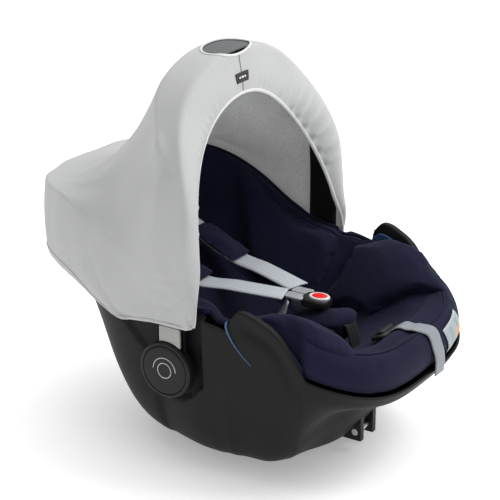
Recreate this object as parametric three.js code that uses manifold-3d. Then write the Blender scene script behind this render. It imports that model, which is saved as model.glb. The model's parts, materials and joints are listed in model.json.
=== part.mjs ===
// Infant car seat: rocker-based shell, padded cover, harness, carry handle and stretch sun hood.
// Millimetres, +Z up. The occupant faces -Y; "right" is the occupant's right, at -X.
// Everything is drawn about the handle's plane (Y = 0) and then moved so that the whole seat is
// centred on the origin, which is the middle of its base.
import * as THREE from 'three';
import Module from 'manifold-3d';
import { mergeVertices } from 'three/addons/utils/BufferGeometryUtils.js';

const wasm = await Module();
wasm.setup();

// ---------------------------------------------------------------- driving dimensions
const CENTRE_SHIFT = -5.75;       // moves the drawn seat so that its box is centred on Y
const FRONT = 297;                // shell rim, forwards of the handle plane
const REAR = 302;                 // shell rim, head end
const HALF_WIDTH = 194;           // shell rim at the handle legs
const WING_HALF_WIDTH = 205;      // shell rim at the belt-guide wings
const RIM_POWER = { front: 3.4, rear: 2.7 };   // squareness of the rim seen from above
const BASE_HALF_WIDTH = 100;      // flat footprint of the rocker base
const BASE_FRONT = -152;
const BASE_REAR = 78;
const SHELL_WALL = 3.5;
const PIVOT = { y: 3, z: 152 };   // handle hinge axis
const HUB_RADIUS = 41;
const HUB_FACE = 213;             // outermost face of the hubs
const ARCH_HALF_WIDTH = 208.5;    // outside of the handle legs
const ARCH_TOP = 556;             // top of the handle arch
const ARCH_SPRING = 300;          // height at which the legs start to curve in
const ARCH_POWER = 2.3;           // squareness of the arch
const LEG_THICK = 12;
const GRIP_SHARE = 0.072;         // half of the grip's share of the arch
const BUTTON_TRAVEL = 4;
const BUTTON_THICK = 4;
const BUTTON_WIDTH = 37;
const PIN_RADIUS = 8;

const COLOURS = {
  shell: 0x343436, hub: 0x29292b, grip: 0x5f6163, button: 0xa3a39d, fabric: 0x1f2246, fabricDark: 0x14162e,
  blue: 0x24507f, webbing: 0xb4bbc2, silver: 0xd0d3d6, steel: 0xb8babc, red: 0xe3262b, white: 0xdfe1e0,
  hood: 0xc9cac9, foam: 0x44464a, label: 0xc3cdd2, rubber: 0x1b1b1c,
};

// ---------------------------------------------------------------- small maths
const { cos, sin, sign, abs, min, max, PI } = Math;
const SIDES = [['right', -1], ['left', 1]];
const vec = (x, y, z) => new THREE.Vector3(x, y, z);
const mix = (a, b, t) => a + (b - a) * t;
const clamp01 = (t) => min(1, max(0, t));
const smooth = (a, b, x) => {
  const t = clamp01((x - a) / (b - a));
  return t * t * (3 - 2 * t);
};
const power = (x, p) => sign(x) * abs(x) ** p;

// value at x on a smooth line through [x, value] points in rising x
function through(points, x) {
  const last = points.length - 1;
  if (x <= points[0][0]) return points[0][1];
  if (x >= points[last][0]) return points[last][1];
  let i = 0;
  while (x > points[i + 1][0]) i += 1;
  const slope = (k) => {
    const a = points[max(0, k - 1)];
    const b = points[min(last, k + 1)];
    return (b[1] - a[1]) / (b[0] - a[0]);
  };
  const [x0, y0] = points[i];
  const [x1, y1] = points[i + 1];
  const h = x1 - x0;
  const t = (x - x0) / h;
  const m0 = slope(i) * h;
  const m1 = slope(i + 1) * h;
  const t2 = t * t;
  const t3 = t2 * t;
  return (2 * t3 - 3 * t2 + 1) * y0 + (t3 - 2 * t2 + t) * m0 + (3 * t2 - 2 * t3) * y1 + (t3 - t2) * m1;
}

// ---------------------------------------------------------------- mesh builders
function solidFrom(vertices, faces) {
  let volume = 0;
  for (const [a, b, c] of faces) {
    volume += vertices[a].dot(vertices[b].clone().cross(vertices[c]));
  }
  const index = [];
  for (const [a, b, c] of faces) index.push(...(volume > 0 ? [a, b, c] : [a, c, b]));
  const geometry = new THREE.BufferGeometry();
  geometry.setAttribute('position', new THREE.Float32BufferAttribute(vertices.flatMap((p) => p.toArray()), 3));
  geometry.setIndex(index);
  return geometry;
}

// solid through a row of rings with the same number of points, its two ends closed
function loft(rings) {
  const n = rings[0].length;
  const vertices = rings.flat();
  const faces = [];
  for (let r = 0; r + 1 < rings.length; r += 1) {
    for (let i = 0; i < n; i += 1) {
      const a = r * n + i;
      const b = r * n + (i + 1) % n;
      faces.push([a, b, b + n], [a, b + n, a + n]);
    }
  }
  const middle = (ring) => ring.reduce((s, p) => s.add(p), vec(0, 0, 0)).divideScalar(n);
  const first = vertices.push(middle(rings[0])) - 1;
  const last = vertices.push(middle(rings.at(-1))) - 1;
  const base = (rings.length - 1) * n;
  for (let i = 0; i < n; i += 1) {
    const j = (i + 1) % n;
    faces.push([first, j, i], [last, base + i, base + j]);
  }
  return solidFrom(vertices, faces);
}

// open grid of points given thickness along its own normals: from offset low to offset high
function sheet(nu, nv, point, low, high) {
  const step = 1e-3;
  const at = (u, v, side) => {
    const du = point(min(1, u + step), v).sub(point(max(0, u - step), v));
    const dv = point(u, min(1, v + step)).sub(point(u, max(0, v - step)));
    const offset = typeof side === 'function' ? side(u, v) : side;
    return point(u, v).addScaledVector(du.cross(dv).normalize(), offset);
  };
  const vertices = [];
  for (const side of [low, high]) {
    for (let j = 0; j <= nv; j += 1) {
      for (let i = 0; i <= nu; i += 1) vertices.push(at(i / nu, j / nv, side));
    }
  }
  const row = nu + 1;
  const layer = row * (nv + 1);
  const faces = [];
  const quad = (a, b, c, d) => faces.push([a, b, c], [a, c, d]);
  for (let j = 0; j < nv; j += 1) {
    for (let i = 0; i < nu; i += 1) {
      const a = j * row + i;
      quad(a, a + row, a + row + 1, a + 1);
      quad(layer + a, layer + a + 1, layer + a + row + 1, layer + a + row);
    }
  }
  const wall = (a, b) => quad(a, b, b + layer, a + layer);
  for (let i = 0; i < nu; i += 1) {
    wall(i, i + 1);
    wall(nv * row + i + 1, nv * row + i);
  }
  for (let j = 0; j < nv; j += 1) {
    wall((j + 1) * row, j * row);
    wall(j * row + nu, (j + 1) * row + nu);
  }
  return solidFrom(vertices, faces);
}

// round-cornered block, centred, of size x by y by z, corners rounded in the XY plane
function block(x, y, z, radius, bevel = 0) {
  const w = x / 2 - bevel;
  const d = y / 2 - bevel;
  const r = max(0.2, radius - bevel);
  const shape = new THREE.Shape();
  shape.absarc(w - r, d - r, r, 0, PI / 2);
  shape.absarc(r - w, d - r, r, PI / 2, PI);
  shape.absarc(r - w, r - d, r, PI, 1.5 * PI);
  shape.absarc(w - r, r - d, r, 1.5 * PI, 2 * PI);
  const options = { depth: z - 2 * bevel, curveSegments: 3, bevelEnabled: bevel > 0, bevelSize: bevel,
    bevelThickness: bevel, bevelSegments: 1 };
  const geometry = new THREE.ExtrudeGeometry(shape, options);
  geometry.translate(0, 0, bevel - z / 2);
  return geometry;
}

// turned piece about the handle's axis from an outline of [distance along X, radius]
function turned(side, outline, closed, segments = 40) {
  const points = outline.map(([x, r]) => new THREE.Vector2(r, side * x));
  if (closed) points.push(points[0].clone());
  if (side < 0) points.reverse();
  return new THREE.LatheGeometry(points, segments).rotateZ(-PI / 2).translate(0, PIVOT.y, PIVOT.z);
}

// flat band of webbing along a smooth curve; across gives the width direction at each point
function band(points, across, width, thick, steps) {
  const curve = new THREE.CatmullRomCurve3(points);
  const rings = [];
  for (let k = 0; k <= steps; k += 1) {
    const t = k / steps;
    const along = curve.getTangentAt(t);
    const side = across(t).clone().addScaledVector(along, -across(t).dot(along)).normalize();
    const up = along.clone().cross(side);
    const p = curve.getPointAt(t);
    const corner = (a, b) => p.clone().addScaledVector(side, a * width / 2).addScaledVector(up, b * thick / 2);
    rings.push([corner(-1, -1), corner(1, -1), corner(1, 1), corner(-1, 1)]);
  }
  return loft(rings);
}

function toSolid(geometry) {
  const bare = geometry.clone();
  for (const name of ['normal', 'uv']) bare.deleteAttribute(name);
  const merged = mergeVertices(bare, 1e-4);
  return new wasm.Manifold(new wasm.Mesh({ numProp: 3, vertProperties: merged.attributes.position.array,
    triVerts: new Uint32Array(merged.index.array) }));
}

function fromSolid(solid) {
  const mesh = solid.getMesh();
  const result = new THREE.BufferGeometry();
  result.setAttribute('position', new THREE.Float32BufferAttribute(mesh.vertProperties, 3));
  result.setIndex([...mesh.triVerts]);
  return result;
}

function cut(geometry, ...tools) {
  return fromSolid(tools.reduce((solid, tool) => solid.subtract(toSolid(tool)), toSolid(geometry)));
}

// ---------------------------------------------------------------- shell surface
const RIM_HEIGHT = [[-300, 140], [-280, 148], [-245, 162], [-203, 178], [-150, 204], [-92, 228], [-48, 236],
  [0, 242], [50, 265], [100, 298], [150, 323], [200, 336], [250, 335], [302, 328]];
const WING_RISE = [[-206, 0], [-196, 16], [-170, 42], [-140, 47], [-113, 42], [-99, 24], [-90, 0]];
const BASE_LIFT = 3;              // the rubber strips raise the base by this much
// wall profiles from the flat base (0, 0) to the rim (1, 1): share of the way out, share of the height
const WALL = {
  side: [[0, 0], [0.36, 0.03], [0.66, 0.12], [0.85, 0.3], [0.95, 0.56], [0.99, 0.8], [1, 1]],
  front: [[0, 0], [0.2, 0.16], [0.38, 0.44], [0.49, 0.68], [0.72, 0.79], [0.92, 0.88], [1, 1]],
  rear: [[0, 0], [0.24, 0.06], [0.42, 0.19], [0.56, 0.36], [0.71, 0.57], [0.87, 0.79], [1, 1]],
};

const wingRise = (y) => through(WING_RISE, y);
const rimHeight = (y) => through(RIM_HEIGHT, y);
const sideWidth = (y) => mix(HALF_WIDTH, WING_HALF_WIDTH, smooth(-52, -74, y));

// rim outline seen from above, moved inwards by inset
function rimPlan(angle, inset = 0) {
  const c = cos(angle);
  const s = sin(angle);
  const p = 2 / (s < 0 ? RIM_POWER.front : RIM_POWER.rear);
  const y = ((s < 0 ? FRONT : REAR) - inset) * power(s, p);
  return vec((sideWidth(y) - inset) * power(c, p), y, 0);
}

function halfWidthAt(y, inset = 0) {
  const length = (y < 0 ? FRONT : REAR) - inset;
  const n = y < 0 ? RIM_POWER.front : RIM_POWER.rear;
  return (sideWidth(y) - inset) * (1 - min(1, abs(y) / length) ** n) ** (1 / n);
}

function wallShare(t, angle, axis) {
  const k = clamp01(t) * 6;
  const pick = (keys) => through(keys.map((key, i) => [i, key[axis]]), k);
  const front = smooth(0.3, 0.95, -sin(angle));
  const rear = smooth(0.1, 0.85, sin(angle));
  return pick(WALL.side) * (1 - front - rear) + pick(WALL.front) * front + pick(WALL.rear) * rear;
}

// a point of the shell's outside: t runs from the edge of the flat base (0) up to the rim (1)
function shellPoint(angle, t) {
  const rim = rimPlan(angle);
  const middle = (BASE_FRONT + BASE_REAR) / 2;
  const foot = vec(BASE_HALF_WIDTH * power(cos(angle), 0.75),
    middle + (BASE_REAR - BASE_FRONT) / 2 * power(sin(angle), 0.75), 0);
  const out = wallShare(t, angle, 0);
  const top = rimHeight(rim.y) + wingRise(rim.y);
  return vec(mix(foot.x, rim.x, out), mix(foot.y, rim.y, out), mix(BASE_LIFT, top, wallShare(t, angle, 1)));
}

// angles round the rim, evenly spaced along it but closer together at the wings
function rimAngles(count) {
  const fine = 2880;
  const total = [0];
  for (let i = 1; i <= fine; i += 1) {
    const a = rimPlan((i - 1) / fine * 2 * PI);
    const b = rimPlan(i / fine * 2 * PI);
    const near = smooth(-215, -200, b.y) * smooth(-60, -85, b.y);
    total.push(total.at(-1) + a.distanceTo(b) * (1 + 1.8 * near));
  }
  const angles = [];
  let i = 0;
  for (let k = 0; k < count; k += 1) {
    while (total[i] < k / count * total.at(-1)) i += 1;
    angles.push(i / fine * 2 * PI);
  }
  return angles;
}

function shellGeometry() {
  const angles = rimAngles(72);
  const levels = [0, 0.12, 0.25, 0.4, 0.55, 0.7, 0.85, 1];
  const outer = (t) => angles.map((a) => shellPoint(a, t));
  const inner = (t) => angles.map((a) => {
    const p = shellPoint(a, t);
    const along = shellPoint(a + 0.01, t).sub(shellPoint(a - 0.01, t));
    const up = shellPoint(a, min(1, t + 0.02)).sub(shellPoint(a, max(0, t - 0.02)));
    const normal = along.cross(up).normalize();
    const q = p.clone().addScaledVector(normal, -SHELL_WALL);
    if (t === 1) q.z = p.z;
    return t === 0 ? vec(p.x * 0.97, mix(-37, p.y, 0.97), SHELL_WALL) : q;
  });
  const bores = SIDES.map(([, side]) => pivotCylinder(side, 140, 260, PIN_RADIUS + 0.3));
  return cut(loft([...levels.map(outer), ...levels.slice().reverse().map(inner)]), ...bores);
}

// ---------------------------------------------------------------- seat surface
const SEAT_MIDDLE = [[-290, 192], [-268, 194], [-238, 181], [-190, 158], [-150, 140], [-100, 119], [-50, 106],
  [-15, 104], [20, 116], [60, 144], [120, 200], [180, 252], [230, 291], [270, 315], [302, 325]];
const SEAT_EDGE = [[-300, 192], [-270, 203], [-235, 216], [-200, 234], [-160, 243], [-120, 236], [-90, 232],
  [-40, 240], [0, 246], [50, 268], [100, 301], [150, 327], [200, 341], [250, 341], [302, 334]];
const COVER_THICK = 8;
const EDGE_INSET = 30;             // the seat surface ends this far inside the rim
const SEAT_CENTRE_Y = -20;

// a point of the upholstery's top: t from the middle (0) through the crest (0.85) to the outer edge (1)
function seatPoint(angle, t) {
  const inner = rimPlan(angle, EDGE_INSET);
  const edge = through(SEAT_EDGE, rimPlan(angle).y);
  const crest = 0.85;
  if (t <= crest) {
    const k = t / crest;
    const x = inner.x * k;
    const y = mix(SEAT_CENTRE_Y, inner.y, k);
    const a = min(1, abs(x) / max(1, halfWidthAt(y, EDGE_INSET)));
    const squareness = mix(2.4, 3.2, smooth(0, 150, y));
    const end = smooth(0.82, 1, k) * smooth(0.5, 0.9, abs(sin(angle)));
    const side = mix(through(SEAT_EDGE, y), edge, end);
    return vec(x, y, mix(through(SEAT_MIDDLE, y), side, max(a ** squareness, end)));
  }
  const k = (t - crest) / (1 - crest);
  const rimY = rimPlan(angle).y;
  const wing = max(smooth(0, 12, wingRise(rimY)), smooth(-36, -52, rimY) * smooth(-100, -90, rimY));
  const outer = rimPlan(angle, mix(11, 18, wing));
  const low = rimHeight(rimPlan(angle).y) + 3;
  const rise = sin(min(1, k * 1.6) * PI) * 4;
  return vec(mix(inner.x, outer.x, sin(k * PI / 2)), mix(inner.y, outer.y, sin(k * PI / 2)),
    mix(edge, low, 1 - cos(k * PI / 2)) + rise * (1 - k));
}

// layer of the seat between two offsets under its top surface
function seatLayer(count, levels, low, high) {
  const angles = rimAngles(count);
  const at = (a, t, offset) => {
    const along = seatPoint(a + 0.01, t).sub(seatPoint(a - 0.01, t));
    const out = seatPoint(a, min(1, t + 0.01)).sub(seatPoint(a, max(0.001, t - 0.01)));
    return seatPoint(a, t).addScaledVector(out.cross(along).normalize(), offset);
  };
  const top = levels.map((t) => angles.map((a) => at(a, t, high)));
  const under = levels.slice().reverse().map((t) => angles.map((a) => at(a, t, low)));
  return loft([...top, ...under]);
}

const SEAT_LEVELS = [0.08, 0.22, 0.36, 0.5, 0.62, 0.72, 0.8, 0.85, 0.9, 0.95, 1];
const LINER_LEVELS = SEAT_LEVELS.filter((t) => t <= 0.8);

// a pad lying on the seat: u across, v along; place(u, v) gives [angle-free plan x, y]
function seatHeight(x, y) {
  const a = min(1, abs(x) / max(1, halfWidthAt(y, EDGE_INSET)));
  const squareness = mix(2.4, 3.2, smooth(0, 150, y));
  return mix(through(SEAT_MIDDLE, y), through(SEAT_EDGE, y), a ** squareness);
}

const seatBody = seatLayer(56, SEAT_LEVELS, -30, 0.5);

function padOnSeat(nu, nv, place, gap, height) {
  const point = (u, v) => {
    const [x, y] = place(u, v);
    return vec(x, y, seatHeight(x, y));
  };
  const crown = (u, v) => gap + 2 + height * (4 * u * (1 - u)) ** 0.6 * (4 * v * (1 - v)) ** 0.6;
  return cut(sheet(nu, nv, point, gap, crown), seatBody);
}

// ---------------------------------------------------------------- handle
// the arch seen from the front: outline point for share s of the half turn, moved inwards by inset
function archPoint(s, inset = 0) {
  const w = ARCH_HALF_WIDTH - inset;
  const h = ARCH_TOP - ARCH_SPRING - inset;
  const p = 2 / ARCH_POWER;
  const a = s * PI;
  return { x: -w * power(cos(a), p), z: ARCH_SPRING + h * power(sin(a), p) };
}

// front and rear faces of the handle at height z: the arch leans back and widens towards the grip
const archFront = (z) => mix(-25, 24, smooth(370, 545, z));
const archRear = (z) => mix(19, 71, smooth(430, 540, z));

function pivotCylinder(side, from, to, radius) {
  const length = to - from;
  const geometry = new THREE.CylinderGeometry(radius, radius, length, 40).rotateZ(PI / 2);
  return geometry.translate(side * (from + length / 2), PIVOT.y, PIVOT.z);
}

// section of the handle between outline points a (outside) and b (inside)
function archRing(a, b, spread = 0) {
  const low = archFront(a.z) - spread;
  const high = archRear(a.z) + spread;
  const p = (k, w) => vec(mix(a.x, b.x, k), mix(low, high, w), mix(a.z, b.z, k));
  return [p(0, 0.1), p(0, 0.9), p(0.25, 1), p(0.75, 1), p(1, 0.9), p(1, 0.1), p(0.75, 0), p(0.25, 0)];
}

// stretch of the arch between two shares of its length and two depths
function archStretch(from, to, outer, inner, steps, spread = 0) {
  const rings = [];
  for (let k = 0; k <= steps; k += 1) {
    const s = mix(from, to, k / steps);
    rings.push(archRing(archPoint(s, outer), archPoint(s, inner), spread));
  }
  return rings;
}

function archGeometry() {
  const inner = ARCH_HALF_WIDTH - LEG_THICK;
  const legHeights = [PIVOT.z + 10, 200, 250];
  const leg = (side) => legHeights.map((z) => archRing({ x: side * ARCH_HALF_WIDTH, z }, { x: side * inner, z }));
  const arch = archStretch(0, 1, 0, LEG_THICK, 30);
  const seatOfGrip = loft(archStretch(0.5 - GRIP_SHARE - 0.002, 0.5 + GRIP_SHARE + 0.002, -8, 4, 8, 9));
  const pocket = new THREE.BoxGeometry(2 * (BUTTON_THICK + BUTTON_TRAVEL + 0.5), BUTTON_WIDTH + 1, 60);
  const middle = (archFront(200) + archRear(200)) / 2;
  const pockets = SIDES.map(([, side]) => pocket.clone().translate(side * ARCH_HALF_WIDTH, middle, 187));
  const hubs = SIDES.map(([, side]) => pivotCylinder(side, 180, 240, HUB_RADIUS + 0.3));
  return cut(loft([...leg(-1), ...arch, ...leg(1).reverse()]), ...pockets, ...hubs, seatOfGrip);
}

function releaseButton(side) {
  const middle = (archFront(200) + archRear(200)) / 2;
  const plate = new THREE.BoxGeometry(BUTTON_THICK, BUTTON_WIDTH, 40);
  plate.translate(side * (ARCH_HALF_WIDTH + 0.4 - BUTTON_THICK / 2), middle, 196.5);
  return cut(plate, pivotCylinder(side, 180, 240, HUB_RADIUS + 0.8));
}

// hub housing round the pivot: hollow from inside for the detent ring, dished outside for its cap
function hubGeometry(side) {
  const inner = ARCH_HALF_WIDTH - LEG_THICK;
  const outline = [[inner, 31], [inner, HUB_RADIUS - 1], [inner + 1, HUB_RADIUS], [HUB_FACE - 2, HUB_RADIUS],
    [HUB_FACE, HUB_RADIUS - 2.5], [HUB_FACE, 35.3], [HUB_FACE - 3, 35.3], [HUB_FACE - 3, PIN_RADIUS + 0.3],
    [HUB_FACE - 8, PIN_RADIUS + 0.3], [HUB_FACE - 8, 31]];
  return turned(side, outline, true);
}

function capGeometry(side) {
  const outline = [[HUB_FACE - 2.7, 0], [HUB_FACE - 2.7, 35], [HUB_FACE - 0.7, 35], [HUB_FACE, 34.2], [HUB_FACE, 0]];
  return turned(side, outline, false);
}

// toothed ring fixed to the shell, which the release buttons' bolts lock into
function detentGeometry(side) {
  const teeth = 24;
  const shape = new THREE.Shape();
  for (let i = 0; i < teeth * 4; i += 1) {
    const r = i % 4 < 2 ? 29.5 : 26.5;
    const a = i / (teeth * 4) * 2 * PI;
    if (i === 0) shape.moveTo(r * cos(a), r * sin(a));
    else shape.lineTo(r * cos(a), r * sin(a));
  }
  const hole = new THREE.Path();
  hole.absarc(0, 0, PIN_RADIUS + 0.4, 0, 2 * PI, true);
  shape.holes.push(hole);
  const geometry = new THREE.ExtrudeGeometry(shape, { depth: 9, bevelEnabled: false, curveSegments: 12 });
  geometry.rotateY(PI / 2).translate(side > 0 ? 195 : -204, PIVOT.y, PIVOT.z);
  return geometry;
}

// hood edge lines: hem of the front opening, front and rear folds over the handle
const HOOD_LOW = 219;              // height of the hood's lower edge on the legs
const HOOD_SAG = 58;               // dip of the hood between the handle and the head end

function hoodFold(s, outwards) {
  // legs take a fifth of the run at each end, the arch takes the rest
  const legShare = 0.13;
  if (s < legShare || s > 1 - legShare) {
    const k = s < 0.5 ? s / legShare : (1 - s) / legShare;
    const x = (s < 0.5 ? -1 : 1) * (ARCH_HALF_WIDTH + outwards);
    return { x, z: mix(HOOD_LOW, ARCH_SPRING, k) };
  }
  return archPoint((s - legShare) / (1 - 2 * legShare), -outwards);
}

function hoodHem(s) {
  const a = mix(-0.12, PI + 0.12, s);
  const x = -190 * cos(a) * (1 + 0.055 * smooth(0.14, 0.08, min(s, 1 - s)));
  const z = 200 + 292 * sin(s < 0.5 ? max(0.075, a) : min(PI - 0.075, a));
  return vec(x, -38 + 50 * smooth(226, 492, z) ** 1.15, z);
}

// line round the shell's rim, outwards of it, from behind the right leg round the head end to the left
function hoodRimPlan(s, start, outwards) {
  return rimPlan(PI - start - (PI - 2 * start) * s, -outwards);
}

function hoodPoint(s, v) {
  const ends = min(s, 1 - s);
  const front = hoodFold(s, 2.6);
  const rear = hoodFold(s, 2.2);
  const hem = hoodHem(s);
  const frontFold = vec(front.x, archFront(front.z) - 4 - 4 * smooth(260, 219, front.z), front.z);
  const rearFold = vec(rear.x, archRear(rear.z) + 3, rear.z);
  const rim = hoodRimPlan(s, 0.13, 7);
  rim.z = mix(210, through(SEAT_EDGE, rim.y) + 7, smooth(0, 0.14, ends));
  const low = hoodRimPlan(s, 0.2, 5);
  low.z = through([[0, 202], [0.08, 213], [0.2, 234], [0.32, 238], [0.5, 222]], ends);
  const part = v * 6;
  if (part <= 1) {
    const p = hem.lerp(frontFold, part);
    p.y -= 11 * sin(part * PI) ** 0.7 * smooth(0.02, 0.1, ends) * smooth(560, 400, p.z);
    return p;
  }
  if (part <= 2) return frontFold.lerp(rearFold, part - 1);
  if (part <= 5) {
    const k = (part - 2) / 3;
    const p = rearFold.lerp(rim, k);
    p.z -= HOOD_SAG * smooth(0.08, 0.4, ends) * sin(k * PI) ** 0.8;
    p.x *= 1 - 0.05 * sin(k * PI) * smooth(0.1, 0.2, ends);
    return p;
  }
  const k = part - 5;
  const p = rim.lerp(low, k);
  return p.add(vec(p.x, p.y, 0).normalize().multiplyScalar(4 * sin(k * PI)));
}

function hoodGeometry() {
  const fine = [0, 1, 1.5, 2, 2.75, 3.5, 4.25, 5, 5.5, 6].map((part) => part / 6);
  const nv = fine.length - 1;
  const surface = (u, v) => {
    const k = v * nv;
    const i = min(nv - 1, Math.floor(k));
    return hoodPoint(u, mix(fine[i], fine[i + 1], k - i));
  };
  const opening = new THREE.CylinderGeometry(1, 1, 60, 28).rotateX(PI / 2).scale(46, 23, 1);
  opening.translate(0, 35, ARCH_TOP);
  return cut(sheet(48, nv, surface, 0, 1.6), opening);
}

// ---------------------------------------------------------------- assembly
const seat = new THREE.Group();
seat.position.y = CENTRE_SHIFT;

function add(name, geometry, colour, { metal = 0, rough = 0.7, at, turn, parent = seat } = {}) {
  const material = new THREE.MeshStandardMaterial({ color: COLOURS[colour], metalness: metal, roughness: rough });
  const mesh = new THREE.Mesh(geometry, material);
  mesh.name = name;
  if (at) mesh.position.set(...at);
  if (turn) mesh.rotation.set(...turn);
  parent.add(mesh);
  return mesh;
}

// solid that the shell's outside would fill if it were moved outwards by gap
function shellBody(gap) {
  const angles = rimAngles(72);
  const rings = [0, 0.12, 0.25, 0.4, 0.55, 0.7, 0.85, 1].map((t) => angles.map((a) => {
    const p = shellPoint(a, t);
    const along = shellPoint(a + 0.01, t).sub(shellPoint(a - 0.01, t));
    const up = shellPoint(a, min(1, t + 0.02)).sub(shellPoint(a, max(0, t - 0.02)));
    return p.addScaledVector(along.cross(up).normalize(), gap);
  }));
  for (const p of rings[0]) p.z = BASE_LIFT - gap;
  return loft(rings);
}

function addShell() {
  add('shell', shellGeometry(), 'shell', { rough: 0.55 });
  const underCover = seatLayer(56, SEAT_LEVELS, -COVER_THICK - 0.5, 1);
  add('foam_liner', cut(seatLayer(56, LINER_LEVELS, -20, -COVER_THICK - 2.5), underCover), 'foam', { rough: 0.95 });
  const body = shellBody(0.4);
  const middle = (BASE_FRONT + BASE_REAR) / 2;
  for (const [word, side] of SIDES) {
    add(`foot_strip_${word}`, block(18, 150, BASE_LIFT - 0.3, 4), 'rubber',
      { at: [side * 72, middle, (BASE_LIFT - 0.3) / 2], rough: 0.95 });
    add(`pivot_pin_${word}`, pivotCylinder(side, 176, HUB_FACE - 3.3, PIN_RADIUS), 'steel', { metal: 1, rough: 0.3 });
    add(`detent_ring_${word}`, detentGeometry(side), 'steel', { metal: 1, rough: 0.4 });
    const lining = (u, v) => {
      const y = mix(-188, -97, u);
      const top = rimHeight(y) + wingRise(y);
      return vec(side * (halfWidthAt(y) - SHELL_WALL - 6), y, mix(rimHeight(y) - 8, top - 3, v));
    };
    add(`belt_guide_lining_${word}`, sheet(10, 3, lining, -0.8, 0.8), 'blue', { rough: 0.5 });
  }
  const bracket = cut(new THREE.BoxGeometry(44, 34, 40), new THREE.BoxGeometry(26, 60, 60),
    new THREE.CylinderGeometry(5.3, 5.3, 80, 20).rotateZ(PI / 2).translate(0, -7, -8));
  for (const [word, y, z] of [['front', -184, 36], ['rear', 133, 26]]) {
    const flip = word === 'rear' ? PI : 0;
    const ears = bracket.clone().rotateZ(flip).translate(0, y, z);
    const shapes = toSolid(ears).subtract(toSolid(body)).decompose();
    shapes.sort((a, b) => a.boundingBox().min[0] - b.boundingBox().min[0]);
    const earNames = ['right', 'left'];
    shapes.slice(0, 2).forEach((shape, i) => add(`${word}_lock_ear_${earNames[i]}`, fromSolid(shape), 'hub'));
    add(`${word}_lock_bar`, new THREE.CylinderGeometry(5, 5, 43, 20).rotateZ(PI / 2), 'steel',
      { at: [0, y + (flip ? 7 : -7), z - 8], metal: 1, rough: 0.3 });
  }
}

function addCover() {
  add('seat_cover', seatLayer(56, SEAT_LEVELS, -COVER_THICK, 0), 'fabric', { rough: 0.95 });
  const along = (u, v, x0, x1, y0, y1) => [mix(x0, x1, u), mix(y0, y1, v)];
  for (const [word, side] of SIDES) {
    const across = (u) => (side > 0 ? u : 1 - u);
    const thigh = (u, v) => along(across(u), v, side * 98, side * mix(132, 148, v), -246, -98);
    add(`thigh_bolster_${word}`, padOnSeat(6, 10, thigh, 1.5, 13), 'fabric', { rough: 0.95 });
    const flank = (u, v) => along(across(u), v, side * 98, side * mix(148, 136, v), -78, 150);
    add(`side_bolster_${word}`, padOnSeat(6, 12, flank, 1.5, 16), 'fabric', { rough: 0.95 });
  }
  add('headrest_pad', padOnSeat(8, 7, (u, v) => along(u, v, -84, 84, 165, 238), 1.5, 18), 'fabric');
  add('seat_inlay', padOnSeat(8, 12, (u, v) => along(u, v, -90, 90, -122, 150), 1.5, 24), 'fabricDark');
}

function addHandle() {
  add('handle_arch', archGeometry(), 'shell', { rough: 0.5 });
  for (const [word, side] of SIDES) {
    add(`handle_hub_${word}`, hubGeometry(side), 'hub', { rough: 0.5 });
    add(`hub_cap_${word}`, capGeometry(side), 'hub', { rough: 0.45 });
    add(`release_button_${word}`, releaseButton(side), 'button', { rough: 0.5 });
  }
  add('handle_grip', loft(archStretch(0.5 - GRIP_SHARE, 0.5 + GRIP_SHARE, 0, 3.7, 8)), 'grip', { rough: 0.9 });
  add('sun_hood', hoodGeometry(), 'hood', { rough: 0.95 });
  add('hood_tag', new THREE.BoxGeometry(21, 1, 11), 'hub', { at: [0, 13, 521], turn: [-0.12, 0, 0] });
}

function addHarness() {
  const sideways = () => vec(1, 0, 0);
  const lift = (p, dz) => vec(p.x, p.y, p.z + dz);
  for (const [word, side] of SIDES) {
    const strap = [vec(side * 42, 128, 262), vec(side * 52, 62, 222), vec(side * 40, 0, 218), vec(side * 20.3, -58, 214)];
    add(`shoulder_strap_${word}`, band(strap, sideways, 38, 1.6, 14), 'webbing', { rough: 0.8 });
    const pad = [vec(side * 44, 118, 260), vec(side * 50, 75, 236), vec(side * 49, 40, 222.5)];
    add(`shoulder_pad_${word}`, band(pad.map((p) => lift(p, 6)), sideways, 54, 7, 8), 'fabric');
    add(`tongue_${word}`, block(22, 24, 3, 3), 'steel', { at: [side * 13, -70.5, 211.4], metal: 1, rough: 0.3 });
    const lap = [vec(side * 28, -70, 208), vec(side * 60, -60, 202), vec(side * 84, -54, 197), vec(side * 101, -50, 190)];
    add(`lap_strap_${word}`, band(lap, () => vec(0, 1, 0.1), 26, 1.6, 8), 'webbing', { rough: 0.8 });
  }
  const pad = [vec(0, -64, 178), vec(0, -100, 186), vec(0, -140, 188), vec(0, -166, 186), vec(0, -178, 176)];
  add('crotch_pad', band(pad, sideways, 74, 13, 10), 'fabric');
  add('crotch_strap', band([vec(0, -189, 167), vec(0, -188, 188), vec(0, -176, 200), vec(0, -146, 205)], sideways,
    30, 1.8, 8), 'webbing');
  const pocket = new THREE.CylinderGeometry(12.5, 12.5, 24, 28).rotateX(PI / 2);
  const housing = cut(block(52, 58, 20, 12, 3), pocket.clone().translate(0, -7, 8));
  add('buckle_housing', housing, 'hub', { at: [0, -112, 206], rough: 0.4 });
  const ring = cut(new THREE.CylinderGeometry(17, 17, 1.8, 32).rotateX(PI / 2), pocket);
  add('buckle_ring', ring, 'white', { at: [0, -119, 217.2] });
  add('buckle_button', new THREE.CylinderGeometry(12, 12, 9, 28).rotateX(PI / 2), 'red', { at: [0, -119, 214.5] });
}

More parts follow.
